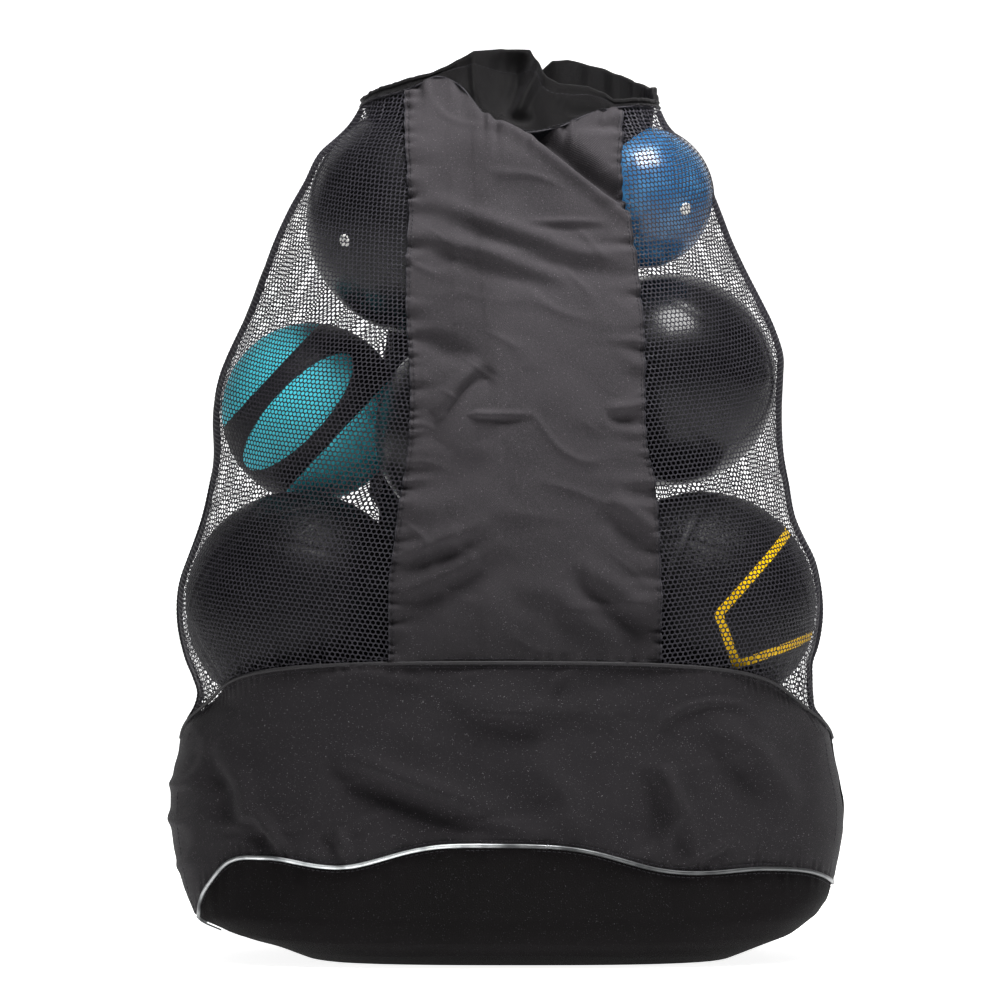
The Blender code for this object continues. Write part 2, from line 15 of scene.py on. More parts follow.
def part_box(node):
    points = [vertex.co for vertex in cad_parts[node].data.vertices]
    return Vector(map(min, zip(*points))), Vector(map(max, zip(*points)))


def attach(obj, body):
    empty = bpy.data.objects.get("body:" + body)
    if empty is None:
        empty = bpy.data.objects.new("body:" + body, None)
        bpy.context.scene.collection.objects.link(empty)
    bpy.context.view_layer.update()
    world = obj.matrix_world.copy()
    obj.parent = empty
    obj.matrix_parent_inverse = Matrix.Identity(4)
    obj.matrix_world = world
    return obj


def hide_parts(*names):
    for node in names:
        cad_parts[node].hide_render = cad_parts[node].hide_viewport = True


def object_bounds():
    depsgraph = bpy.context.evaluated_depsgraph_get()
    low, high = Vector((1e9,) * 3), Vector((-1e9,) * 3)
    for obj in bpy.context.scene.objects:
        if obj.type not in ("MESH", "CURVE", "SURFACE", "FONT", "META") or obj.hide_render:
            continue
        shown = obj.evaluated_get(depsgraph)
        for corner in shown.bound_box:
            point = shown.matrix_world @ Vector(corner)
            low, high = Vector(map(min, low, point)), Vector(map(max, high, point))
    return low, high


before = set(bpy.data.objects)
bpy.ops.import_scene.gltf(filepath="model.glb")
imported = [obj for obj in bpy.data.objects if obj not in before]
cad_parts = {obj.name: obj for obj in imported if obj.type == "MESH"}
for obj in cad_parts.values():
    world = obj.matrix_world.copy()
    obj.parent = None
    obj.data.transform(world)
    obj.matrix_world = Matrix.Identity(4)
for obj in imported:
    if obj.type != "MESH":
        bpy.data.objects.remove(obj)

CAD_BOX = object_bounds()

bl_info = {
    "name": "Mesh Ball Bag",
    "version": (1, 0, 0),
    "blender": (4, 5, 0),
    "location": "View3D > Sidebar > Ball Bag",
    "description": "Builds the cloth, net, straps and balls of a filled ball bag",
    "category": "Object",
}

# The outline of a level cut through the bag is a superellipse. Its exponent falls from floor to mouth.
SQUARENESS_LOW, SQUARENESS_HIGH = 2.9, 2.2
BLUNT_TO, ROUND_FROM = 0.45, 0.88

ROW_STEP = 0.005  # between the levels at which the form is kept
COLUMNS = 256  # round the form
CLOTH_CLEAR = 0.0024  # between a ball and the cloth's middle
SINK_FRONT, SINK_SIDE = 0.040, 0.002  # deepest hollow between balls, facing front or back and at the sides
RELAX_ROUNDS = 700
SEAM_BEND = 1.6  # how quickly a seam's height leaves the front or back line, as a power of the cosine
LEAN = 0.10  # how far a row of the net's holes climbs for each metre away from the side line
ANCHOR_X = 0.1256  # where the webbing of a strap ends, from the middle of the back
LOOP_FOOT = 0.822  # height at which the haul loop leaves the yoke
BALL_RINGS, BALL_SIDES = 99, 200  # rings between the poles of a ball's cover, and points on each

SKIN_NODES = (
    "bottom_panel",
    "base_wall_front",
    "base_wall_back",
    "front_panel",
    "back_panel",
    "net_left",
    "net_right",
    "collar",
)
BALL_NAMES = (
    "top_left",
    "blue",
    "right",
    "teal",
    "middle",
    "lower_left",
    "lower_right",
    "lower_back",
    "base_left",
    "base_middle",
    "base_right",
)

# Seam between the bowl and the base wall: degrees round the bag (0 front, 90 right) and height.
LOWER_SEAM = (
    (-180, 0.075),
    (-120, 0.062),
    (-95, 0.040),
    (-76, 0.044),
    (-64, 0.078),
    (-55, 0.101),
    (-40, 0.109),
    (-20, 0.102),
    (-4, 0.125),
    (3, 0.124),
    (19, 0.099),
    (46, 0.097),
    (66, 0.092),
    (90, 0.075),
    (120, 0.070),
    (180, 0.075),
)
# Front top edge of the collar and its back top edge, as x and height. The front edge drops at the cord notch.
COLLAR_FRONT = (
    (-0.150, 0.896),
    (-0.142, 0.899),
    (-0.110, 0.906),
    (-0.081, 0.914),
    (-0.062, 0.922),
    (-0.046, 0.930),
    (-0.033, 0.936),
    (-0.005, 0.940),
    (0.026, 0.938),
    (0.031, 0.927),
    (0.035, 0.918),
    (0.042, 0.909),
    (0.054, 0.903),
    (0.082, 0.899),
    (0.096, 0.893),
    (0.106, 0.888),
    (0.150, 0.890),
)
COLLAR_BACK = (
    (-0.150, 0.894),
    (-0.098, 0.903),
    (-0.040, 0.912),
    (0.034, 0.915),
    (0.040, 0.922),
    (0.050, 0.931),
    (0.066, 0.932),
    (0.094, 0.925),
    (0.121, 0.916),
    (0.150, 0.903),
)

# How far the net is drawn in at the sides, below and between the balls: height, then the left and right side.
SIDE_WAIST = (
    (0.000, 0.002, 0.001),
    (0.012, 0.005, 0.001),
    (0.026, 0.006, 0.000),
    (0.042, 0.001, 0.001),
    (0.060, 0.000, 0.000),
    (0.100, -0.002, -0.001),
    (0.135, -0.003, -0.005),
    (0.160, -0.003, -0.005),
    (0.182, -0.002, -0.002),
    (0.198, 0.000, 0.000),
    (0.213, 0.003, 0.001),
    (0.229, 0.003, 0.001),
    (0.246, 0.008, 0.007),
    (0.260, 0.015, 0.014),
    (0.274, 0.018, 0.0140),
    (0.291, 0.013, 0.0125),
    (0.306, 0.007, 0.0110),
    (0.322, 0.003, 0.0050),
    (0.346, -0.001, 0.0000),
    (0.385, -0.002, -0.0020),
    (0.416, 0.0035, 0.0000),
    (0.432, 0.006, 0.0040),
    (0.455, 0.0085, 0.0085),
    (0.495, 0.009, 0.0075),
    (0.525, 0.009, 0.0080),
    (0.556, 0.004, 0.0065),
    (0.572, 0.001, 0.0050),
    (0.603, -0.001, -0.0010),
    (0.620, 0.000, -0.0050),
    (0.650, 0.002, -0.0040),
    (0.681, 0.003, 0.0010),
    (0.712, 0.001, 0.0060),
    (0.744, 0.000, 0.0095),
    (0.775, 0.002, 0.0105),
    (0.806, 0.006, 0.0115),
    (0.837, 0.006, 0.0125),
    (0.853, 0.0105, 0.0125),
    (0.868, 0.0135, 0.0146),
    (0.884, 0.0135, 0.0114),
    (0.900, 0.0110, 0.0060),
    (0.960, 0.0110, 0.0060),
)

# Creases of the front: points (x, height), ridge height, width, and depth of the hollow below it.
PANEL_CREASES = (
    (((-0.040, 0.880), (0.020, 0.848), (0.090, 0.800), (0.150, 0.756)), 0.0060, 0.008, -1.7),
    (((-0.060, 0.862), (0.000, 0.840), (0.060, 0.800), (0.110, 0.760)), 0.0040, 0.024, 0.0),
    (((-0.100, 0.800), (-0.023, 0.770), (0.050, 0.744), (0.145, 0.719)), 0.0030, 0.010, 0.9),
    (((-0.100, 0.758), (0.007, 0.725), (0.071, 0.706)), 0.0026, 0.009, 0.9),
    (((0.020, 0.768), (0.104, 0.767)), 0.0014, 0.004, 0.6),
    (((-0.104, 0.652), (-0.060, 0.634), (-0.020, 0.622)), -0.0040, 0.014, 0.0),
    (((-0.026, 0.624), (-0.050, 0.594), (-0.072, 0.564)), 0.0050, 0.009, 0.9),
    (((-0.075, 0.563), (-0.030, 0.566), (0.030, 0.566)), 0.0026, 0.004, 0.5),
    (((-0.098, 0.554), (-0.060, 0.548), (-0.010, 0.546)), -0.0026, 0.010, 0.0),
    (((0.100, 0.572), (0.146, 0.575)), 0.0030, 0.007, 1.0),
    (((-0.114, 0.420), (-0.060, 0.440), (-0.014, 0.455)), 0.0036, 0.010, 1.1),
    (((-0.120, 0.378), (-0.050, 0.412), (-0.004, 0.441)), 0.0040, 0.012, 1.1),
    (((0.166, 0.436), (0.135, 0.460), (0.105, 0.483)), 0.0036, 0.010, 1.1),
    (((0.168, 0.350), (0.120, 0.382), (0.070, 0.419)), 0.0040, 0.012, 1.1),
    (((0.010, 0.395), (0.060, 0.380), (0.120, 0.330)), 0.0028, 0.014, 0.6),
)
WALL_CREASES = (
    (((-0.180, 0.226), (-0.110, 0.196), (-0.006, 0.160)), 0.0050, 0.012, 1.3),
    (((-0.258, 0.160), (-0.240, 0.138), (-0.224, 0.112)), 0.0045, 0.008, 0.9),
    (((-0.172, 0.144), (-0.160, 0.108)), 0.0035, 0.007, 0.9),
    (((0.160, 0.210), (0.170, 0.160), (0.166, 0.104)), 0.0045, 0.009, 0.8),
    (((0.160, 0.210), (0.180, 0.160), (0.198, 0.104)), 0.0040, 0.009, 0.8),
    (((-0.060, 0.280), (0.040, 0.262), (0.120, 0.270)), 0.0026, 0.014, 0.8),
    (((0.200, 0.262), (0.260, 0.214), (0.300, 0.160)), 0.0040, 0.014, 0.9),
    (((-0.300, 0.230), (-0.270, 0.190), (-0.262, 0.130)), 0.0040, 0.012, 0.9),
    (((0.020, 0.220), (0.060, 0.180), (0.070, 0.130)), 0.0030, 0.016, 0.7),
)
COLLAR_CREASES = (
    (((-0.034, 0.948), (-0.032, 0.905), (-0.030, 0.870)), 0.0060, 0.005, 0.0),
    (((0.002, 0.950), (-0.004, 0.905), (-0.008, 0.868)), -0.0140, 0.014, 0.0),
    (((0.040, 0.945), (0.030, 0.905), (0.008, 0.866)), 0.0130, 0.0055, 0.0),
    (((0.016, 0.935), (0.012, 0.905), (-0.002, 0.874)), -0.0120, 0.007, 0.0),
    (((-0.004, 0.872), (0.012, 0.867), (0.030, 0.868)), -0.0090, 0.006, 0.0),
    (((0.050, 0.888), (0.080, 0.884), (0.108, 0.880)), 0.0040, 0.006, 0.9),
    (((-0.100, 0.914), (-0.070, 0.917), (-0.045, 0.930)), -0.0025, 0.008, 0.0),
    (((0.060, 0.898), (0.056, 0.872)), 0.0026, 0.006, 0.8),
)

# Route of a shoulder pad on the back, below its sewn head, for the right side.
PAD_ROUTE = (
    (0.078, 0.2020, 0.738),
    (0.088, 0.2320, 0.680),
    (0.099, 0.2480, 0.610),
    (0.109, 0.2540, 0.530),
    (0.116, 0.2490, 0.450),
)


# ---------------------------------------------------------------- numbers and curves


def smooth_between(knots, values, at):
    """Cubic Hermite curve through the knots, with slopes from their neighbours."""
    knots, values = np.asarray(knots, float), np.asarray(values, float)
    slopes = np.gradient(values, knots)
    at = np.clip(at, knots[0], knots[-1])
    i = np.clip(np.searchsorted(knots, at) - 1, 0, len(knots) - 2)
    span = knots[i + 1] - knots[i]
    t = (at - knots[i]) / span
    rise = t * t * (3 - 2 * t)
    bend = span * (slopes[i] * t * (1 - t) ** 2 - slopes[i + 1] * t * t * (1 - t))
    return values[i] + (values[i + 1] - values[i]) * rise + bend


def ease(t):
    """0 below 0, 1 above 1, and 3t^2 - 2t^3 between."""
    t = np.clip(t, 0, 1)
    return t * t * (3 - 2 * t)


def unit(vectors):
    return vectors / np.maximum(np.linalg.norm(vectors, axis=-1, keepdims=True), 1e-12)


def even_path(points, steps):
    """Points read at even distances from a smooth curve through the given ones."""
    points = np.array(points, float)
    length = np.concatenate([[0], np.cumsum(np.linalg.norm(np.diff(points, axis=0), axis=1))])
    fine = np.linspace(0, length[-1], steps * 8)
    curve = np.stack([smooth_between(length, points[:, k], fine) for k in range(3)], axis=1)
    run = np.concatenate([[0], np.cumsum(np.linalg.norm(np.diff(curve, axis=0), axis=1))])
    at = np.linspace(0, run[-1], steps)
    return np.stack([np.interp(at, run, curve[:, k]) for k in range(3)], axis=1)


def waves(x, y, seed, scale, layers=4):
    """Soft irregular field from -1 to 1: sine waves in fixed random directions, each of about this scale."""
    draw = np.random.default_rng(seed)
    total = np.zeros(np.broadcast(x, y).shape)
    for _ in range(layers):
        turn, phase = draw.uniform(0, 2 * math.pi, 2)
        pitch = scale * draw.uniform(0.6, 1.7)
        total += np.sin(2 * math.pi * (x * math.cos(turn) + y * math.sin(turn)) / pitch + phase)
    return total / layers


def away_from(x, y, route):
    """Signed distance from a broken line, positive on its left, and the nearest point's share of its length."""
    route = np.asarray(route, float)
    lengths = np.linalg.norm(np.diff(route, axis=0), axis=1)
    best, side, share = np.full(x.shape, 1e9), np.ones(x.shape), np.zeros(x.shape)
    for i, (start, end) in enumerate(zip(route[:-1], route[1:])):
        run = (end - start) / lengths[i]
        along = (x - start[0]) * run[0] + (y - start[1]) * run[1]
        held = np.clip(along, 0, lengths[i])
        dx, dy = x - start[0] - run[0] * held, y - start[1] - run[1] * held
        distance = np.hypot(dx, dy)
        near = distance < best
        best = np.where(near, distance, best)
        side = np.where(near, np.where(run[0] * dy - run[1] * dx >= 0, 1.0, -1.0), side)
        share = np.where(near, (lengths[:i].sum() + held) / lengths.sum(), share)
    return best * side, share


def crumpled(x, height, seed, scale):
    """Fine sharp folds from 0 to 1: ridges where a soft field is zero, strong only in places."""
    field = waves(x, height, seed, scale, 5)
    place = waves(x, height, seed + 1, scale * 1.6)
    return np.exp(-((field / 0.16) ** 2)) * ease(place * 1.6 + 0.35)


def creased(x, height, creases):
    """Sum of the creases: a Gaussian ridge along each line, with a hollow next to it, fading at both ends.

    The hollow is below the line, or above it where its depth is given as negative.
    """
    total = np.zeros(x.shape)
    for route, rise, width, hollow in creases:
        route = np.asarray(route)
        if route[0, 0] > route[-1, 0]:
            route = route[::-1]
        distance, share = away_from(x, height, route)
        fade = np.sin(math.pi * np.clip(share, 0, 1)) ** 0.8
        next_to = (distance + math.copysign(1.6 * width, hollow)) / (1.3 * width)
        total += fade * rise * (np.exp(-((distance / width) ** 2)) - abs(hollow) * np.exp(-(next_to**2)))
    return total


# ---------------------------------------------------------------- the filled form, read from the frame


def skin_tree():
    """One ray tree over the skin's CAD nodes, and the node of each of its faces."""
    points, faces, owner = [], [], []
    for name in SKIN_NODES:
        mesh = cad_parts[name].data
        start = len(points)
        points += [v.co.copy() for v in mesh.vertices]
        faces += [[start + i for i in p.vertices] for p in mesh.polygons]
        owner += [name] * len(mesh.polygons)
    return BVHTree.FromPolygons(points, faces), owner


TREE, OWNER = skin_tree()


def seen(x, y, height, way):
    """The skin's first point from far away, looking along way, and the node it is on."""
    start = Vector((x, y, height)) - Vector(way) * 2
    point, _, face, _ = TREE.ray_cast(start, Vector(way))
    return (point, OWNER[face]) if point else (None, "")


def softened(values, spread):
    """Gaussian average along a row of values, with the ends held."""
    reach = int(3 * spread) + 1
    weights = np.exp(-0.5 * (np.arange(-reach, reach + 1) / spread) ** 2)
    held = np.concatenate([[values[0]] * reach, values, [values[-1]] * reach])
    return np.convolve(held, weights / weights.sum(), "valid")


def measure_sections():
    """Left edge, right edge and half depth of the bag at each level."""

    def farthest(x, y, height, way, axis):
        """Reach of the skin against the look. Rays at three close heights skip the gap at a seam."""
        found = [seen(x, y, max(height + shift, 0.0006), way)[0] for shift in (-0.0016, 0, 0.0016)]
        reach = [-p[axis] * way[axis] for p in found if p]
        return max(reach) if reach and max(reach) > 0 else np.nan

    rows = [
        (
            -farthest(0, -0.006, height, (1, 0, 0), 0),
            farthest(0, -0.006, height, (-1, 0, 0), 0),
            farthest(0.004, 0, height, (0, 1, 0), 1),
        )
        for height in LEVELS
    ]
    table = np.array(rows, float)
    for column in table.T:
        known = ~np.isnan(column)
        column[~known] = np.interp(LEVELS[~known], LEVELS[known], column[known])
        soft = ease((LEVELS - 0.04) / 0.05)
        column[:] = column * (1 - soft) + softened(column, 4.0) * soft
    return table


def measure_seams(way, x=0.0, y=0.0):
    """Heights, going up on one side, at which the skin changes piece: the base seams and the collar's."""
    names, changes = [], []
    for height in np.arange(0.02, CAD_BOX[1][2], 0.001):
        name = seen(x, y, height, way)[1]
        kind = name.split("_")[0] if name else "none"
        kind = "side" if kind in ("front", "back", "net") else kind
        if not names or kind != names[-1]:
            names.append(kind)
            changes.append(height)
    return {kind: height for kind, height in zip(names, changes)}


def measure_edges(node, way):
    """Heights, and the lowest and highest x at which a panel shows, looking along way."""
    low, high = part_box(node)
    rows = []
    for height in np.linspace(low.z + 0.09, high.z - 0.04, 14):
        shown = [x for x in np.arange(-0.20, 0.20, 0.001) if seen(x, 0, height, way)[1] == node]
        rows.append((height, min(shown), max(shown)))
    return np.array(rows).T


LEVELS = np.arange(0, CAD_BOX[1][2] + 0.004, ROW_STEP)
SECTIONS = measure_sections()
SEAMS = [
    measure_seams((0, 1, 0), x=0.004),
    measure_seams((1, 0, 0), y=-0.006),
    measure_seams((0, -1, 0), x=0.004),
]
UPPER_SEAM = [seam["side"] for seam in SEAMS]
COLLAR_SEAM = [seam["collar"] for seam in SEAMS]
FRONT_EDGES = measure_edges("front_panel", (0, 1, 0))
BACK_EDGES = measure_edges("back_panel", (0, -1, 0))
BALLS = {}
for _name in BALL_NAMES:
    _low, _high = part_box("ball_" + _name)
    BALLS[_name] = (np.array((_low + _high) / 2), float(max(_high - _low) / 2))


def section_at(height):
    """Middle x, half width, half depth and outline exponent at a height."""
    left, right, depth = (smooth_between(LEVELS, SECTIONS[:, k], height) for k in range(3))
    t = np.clip((height - BLUNT_TO) / (ROUND_FROM - BLUNT_TO), 0, 1)
    squareness = SQUARENESS_LOW + (SQUARENESS_HIGH - SQUARENESS_LOW) * t
    return (left + right) / 2, (right - left) / 2, depth, squareness


def skin(angle, height, scale=1.0):
    """Point of the full form: x = middle + half |sin|^(2/n), y = -depth |cos|^(2/n), each with its sign."""
    middle, half, depth, squareness = section_at(height)
    across, along = np.sin(angle), np.cos(angle)
    x = middle + scale * half * np.sign(across) * np.abs(across) ** (2 / squareness)
    y = -scale * depth * np.sign(along) * np.abs(along) ** (2 / squareness)
    return np.stack(np.broadcast_arrays(x, y, height + 0 * angle), axis=-1)


def skin_normal(angle, height):
    """Outward unit normal of the full form, from its two slopes."""
    turn, rise = 4e-3, 2e-3
    around = skin(angle + turn, height) - skin(angle - turn, height)
    upward = skin(angle, height + rise) - skin(angle, np.maximum(height - rise, 0.0))
    return unit(np.cross(around, upward))


def angle_of(x, height):
    """Angle on the front half at which the form has this x."""
    middle, half, _, squareness = section_at(height)
    share = np.clip((x - middle) / half, -1, 1)
    return np.arcsin(np.sign(share) * np.abs(share) ** (squareness / 2))


def wrapped(angle):
    """The same angle between -180 and 180 degrees."""
    return (angle + math.pi) % (2 * math.pi) - math.pi


def seam_height(heights, angle, bend_front=SEAM_BEND):
    """side + (front - side) |cos|^bend, and the same towards the back."""
    front, side, back = heights
    ahead = np.cos(angle)
    share = np.abs(ahead) ** np.where(ahead > 0, bend_front, SEAM_BEND)
    return side + np.where(ahead > 0, front - side, back - side) * share


def lower_seam(angle):
    """Height of the seam between the bowl and the base wall."""
    degrees, heights = zip(*LOWER_SEAM)
    return smooth_between(degrees, heights, np.degrees(wrapped(angle)))


def upper_seam(angle):
    """Height of the seam at the top of the base wall. At the front it stays high and drops at the sides."""
    return seam_height(UPPER_SEAM, angle, bend_front=0.52) - 0.012 * np.abs(np.sin(angle)) ** 8


def collar_seam(angle):
    """Height of the collar's seam. It bulges up on the left and dips at the middle of the front."""
    x = skin(angle, np.full_like(angle, COLLAR_SEAM[1]))[..., 0]
    front = smooth_between(
        (-0.160, -0.100, -0.075, -0.050, -0.020, 0.012, 0.040, 0.086, 0.110, 0.160),
        (0.888, 0.899, 0.910, 0.901, 0.871, 0.855, 0.858, 0.874, 0.879, 0.884),
        x,
    )
    back = seam_height(COLLAR_SEAM, angle)
    ahead = ease(0.5 + 3 * np.cos(angle))
    return back + (front - back) * ahead


def collar_top(angle):
    """Height of the collar's top edge, from its front and its back line."""
    x = skin(angle, np.full_like(angle, 0.905))[..., 0]
    front = np.interp(x, *zip(*COLLAR_FRONT))
    back = np.interp(x, *zip(*COLLAR_BACK))
    ahead = ease(0.5 + 3 * np.cos(angle))
    return np.maximum(back + (front - back) * ahead, collar_seam(angle) + 0.007)


def front_edges(height):
    """Angles of the front panel's left and right edge."""
    return tuple(angle_of(smooth_between(FRONT_EDGES[0], FRONT_EDGES[k], height), height) for k in (1, 2))


def back_edges(height):
    """Angles of the back panel's edges: the one at +X, then the one at -X."""
    return tuple(
        math.pi - angle_of(smooth_between(BACK_EDGES[0], BACK_EDGES[k], height), height) for k in (2, 1)
    )


def settled_sink():
    """How far the cloth sinks in from the full form, at each level and angle.

    Each point moves to the average of its neighbours, along the form's normal, and stays between the full
    form and the balls. After many rounds that is a stretched skin resting on the balls.
    """
    angle, height = np.meshgrid(np.arange(COLUMNS) * 2 * math.pi / COLUMNS, LEVELS)
    full, out = skin(angle, height), skin_normal(angle, height)
    facing = 1 - np.abs(np.sin(angle)) ** 6
    low = ease((height - 0.03) / 0.09)
    high = 1 - ease((height - COLLAR_SEAM[0] + 0.12) / 0.12)
    most = (SINK_SIDE + (SINK_FRONT - SINK_SIDE) * facing) * low * (0.12 + 0.88 * high)
    for centre, radius in BALLS.values():
        to_ball = centre - full
        along = -(to_ball * out).sum(-1)
        reach = (radius + CLOTH_CLEAR) ** 2 - (to_ball**2).sum(-1) + along**2
        touch = np.where((reach > 0) & (along > 0), along - np.sqrt(np.maximum(reach, 0)), 1.0)
        most = np.minimum(most, np.maximum(touch, 0))
    sink = np.zeros_like(most)
    for _ in range(RELAX_ROUNDS):
        place = full - out * sink[..., None]
        level = (np.roll(place, 1, axis=1) + np.roll(place, -1, axis=1))[1:-1] / 2
        upright = (place[:-2] + place[2:]) / 2
        wanted = 0.45 * level + 0.55 * upright
        sink[1:-1] = np.clip(((full[1:-1] - wanted) * out[1:-1]).sum(-1), 0, most[1:-1])
    return sink


SINK = settled_sink()


def sink_at(angle, height):
    """The settled sink between its kept points, by Catmull-Rom in both directions."""
    column = (angle % (2 * math.pi)) / (2 * math.pi) * COLUMNS
    row = np.clip(height / ROW_STEP, 0, len(LEVELS) - 1.001)
    c, r = np.floor(column).astype(int), np.floor(row).astype(int)
    total = np.zeros(np.broadcast(angle, height).shape)

    def weights(t):
        return (
            -0.5 * t + t**2 - 0.5 * t**3,
            1 - 2.5 * t**2 + 1.5 * t**3,
            0.5 * t + 2 * t**2 - 1.5 * t**3,
            -0.5 * t**2 + 0.5 * t**3,
        )

    across, up = weights(column - c), weights(row - r)
    for j in range(4):
        for i in range(4):
            sample = SINK[np.clip(r + j - 1, 0, len(LEVELS) - 1), (c + i - 1) % COLUMNS]
            total += up[j] * across[i] * sample
    return total


def waist_at(angle, height):
    """How far the cloth is drawn in at a side of the bag. It dies away towards the front and the back."""
    levels, left, right = zip(*SIDE_WAIST)
    sideways = np.sin(angle)
    at_left, at_right = smooth_between(levels, left, height), smooth_between(levels, right, height)
    return np.where(sideways < 0, at_left, at_right) * np.abs(sideways) ** 5


def bag(angle, height, lift=0.0):
    """Point of the settled cloth, moved outwards by lift, and the outward direction."""
    angle, height = np.broadcast_arrays(np.asarray(angle, float), np.asarray(height, float))
    out = skin_normal(angle, height)
    away = lift - np.maximum(sink_at(angle, height), 0) - waist_at(angle, height)
    return skin(angle, height) + out * away[..., None], out


def clear_of_balls(points, gap=CLOTH_CLEAR):
    """The points, with any that is inside a ball or too near it moved straight out to the gap."""
    for centre, radius in BALLS.values():
        away = points - centre
        distance = np.linalg.norm(away, axis=-1, keepdims=True)
        points = np.where(distance < radius + gap, centre + away / distance * (radius + gap), points)
    return points


def panel_grid(edges, low, high, cells):
    """Angles and heights of a grid between two edges, given as angles, and two seams, given as heights."""
    across, up = np.meshgrid(np.linspace(0, 1, cells[0] + 1), np.linspace(0, 1, cells[1] + 1))
    height = np.full_like(across, 0.5)
    for _ in range(20):
        start, end = edges(height)
        angle = start + (end - start) * across
        height = low(angle) + (high(angle) - low(angle)) * up
    return angle, height, across, up


# ---------------------------------------------------------------- meshes


def grid_faces(rows, columns, closed=False):
    """Quads of a grid of points, counted row by row."""
    last = columns if closed else columns - 1
    row, column = np.meshgrid(np.arange(rows - 1), np.arange(last), indexing="ij")
    a = (row * columns + column).ravel()
    b = (row * columns + (column + 1) % columns).ravel()
    return np.stack([a, b, b + columns, a + columns], axis=1)


def mesh_piece(name, points, faces, finish, uv=None):
    """A named object from whole arrays: points, faces of one size, and a UV for each point."""
    points, faces = np.asarray(points, np.float32).reshape(-1, 3), np.asarray(faces, np.int32)
    mesh = bpy.data.meshes.new(name)
    mesh.vertices.add(len(points))
    mesh.vertices.foreach_set("co", points.ravel())
    mesh.loops.add(faces.size)
    mesh.loops.foreach_set("vertex_index", faces.ravel())
    mesh.polygons.add(len(faces))
    mesh.polygons.foreach_set("loop_start", np.arange(len(faces), dtype=np.int32) * faces.shape[1])
    mesh.update(calc_edges=True)
    if uv is not None:
        layer = mesh.uv_layers.new(name="Cut")
        layer.data.foreach_set("uv", np.asarray(uv, np.float32).reshape(-1, 2)[faces.ravel()].ravel())
    mesh.validate()
    mesh.shade_smooth()
    obj = bpy.data.objects.new(name, mesh)
    bpy.context.scene.collection.objects.link(obj)
    mesh.materials.append(finish)
    return obj


def cloth_grid(name, points, finish, closed=False):
    """A piece from a grid of points, with a UV in metres measured along its middle row and column."""
    rows, columns = points.shape[:2]
    across = np.linalg.norm(np.diff(points[rows // 2], axis=0), axis=1)
    up = np.linalg.norm(np.diff(points[:, columns // 2], axis=0), axis=1)
    u, v = np.meshgrid(np.concatenate([[0], np.cumsum(across)]), np.concatenate([[0], np.cumsum(up)]))
    return mesh_piece(name, points, grid_faces(rows, columns, closed), finish, uv=np.stack([u, v], -1))


def tube_mesh(path, out, radius, sides=10, flat=1.0, closed=False):
    """Points and faces of a tube along a path. Its section is an ellipse, flat times as deep along out."""
    along = unit(np.roll(path, -1, 0) - np.roll(path, 1, 0)) if closed else unit(np.gradient(path, axis=0))
    side = unit(np.cross(along, out))
    face = np.cross(side, along)
    turn = np.arange(sides) * 2 * math.pi / sides
    radius = np.broadcast_to(radius, (len(path),))[:, None, None]
    rings = path[:, None] + radius * (
        np.cos(turn)[None, :, None] * face[:, None] * flat + np.sin(turn)[None, :, None] * side[:, None]
    )
    faces = grid_faces(len(path), sides, closed=True)
    if closed:
        joint = grid_faces(2, sides, closed=True)
        joint = np.where(joint < sides, joint + (len(path) - 1) * sides, joint - sides)
        faces = np.concatenate([faces, joint])
    else:
        rings = np.concatenate([rings[:1] * 0 + path[0], rings, rings[:1] * 0 + path[-1]])
        faces = grid_faces(len(path) + 2, sides, closed=True)
    return rings.reshape(-1, 3), faces[:, ::-1]


def stitch_row(path, out, pitch=0.0052, length=0.0036, radius=0.00042):
    """Points and faces of a row of stitches: short beads of six sides along the path, a little above it."""
    run = np.concatenate([[0], np.cumsum(np.linalg.norm(np.diff(path, axis=0), axis=1))])
    middle = np.arange(pitch / 2, run[-1], pitch)
    shares = np.array([-0.5, -0.42, 0.0, 0.42, 0.5]) * length
    wide = np.array([0.25, 0.8, 1.0, 0.8, 0.25]) * radius
    at = middle[:, None] + shares
    place = np.stack([np.interp(at, run, path[:, k]) for k in range(3)], -1)
    up = unit(np.stack([np.interp(at, run, out[:, k]) for k in range(3)], -1))
    along = unit(place[:, -1] - place[:, 0])[:, None]
    side = unit(np.cross(along, up))
    turn = np.arange(6) * math.pi / 3
    rise = (wide - 0.6 * radius)[None, :, None]
    rings = (place + up * rise)[:, :, None] + wide[None, :, None, None] * (
        np.cos(turn)[:, None] * up[:, :, None] + np.sin(turn)[:, None] * side[:, :, None]
    )
    faces = grid_faces(5, 6, closed=True)[:, ::-1]
    count = np.arange(len(middle))[:, None, None] * 30
    return rings.reshape(-1, 3), (faces + count).reshape(-1, 4)


def joined(name, parts, finish):
    """One piece from several (points, faces) pairs."""
    points, faces, start = [], [], 0
    for some, of_them in parts:
        points.append(some)
        faces.append(of_them + start)
        start += len(some)
    return mesh_piece(name, np.concatenate(points), np.concatenate(faces), finish)


# ---------------------------------------------------------------- materials


def linear(code):
    """A colour code such as #3a6ea5 as linear RGBA."""
    values = [int(code[i : i + 2], 16) / 255 for i in (1, 3, 5)]
    return (*[v / 12.92 if v <= 0.04045 else ((v + 0.055) / 1.055) ** 2.4 for v in values], 1.0)


def add(tree, kind, links=None, **settings):
    """A node with its settings, inputs from links (name or index: socket or value)."""
    node = tree.nodes.new(kind)
    for key, value in settings.items():
        setattr(node, key, value)
    for key, value in (links or {}).items():
        if isinstance(value, bpy.types.NodeSocket):
            tree.links.new(value, node.inputs[key])
        else:
            node.inputs[key].default_value = value
    return node


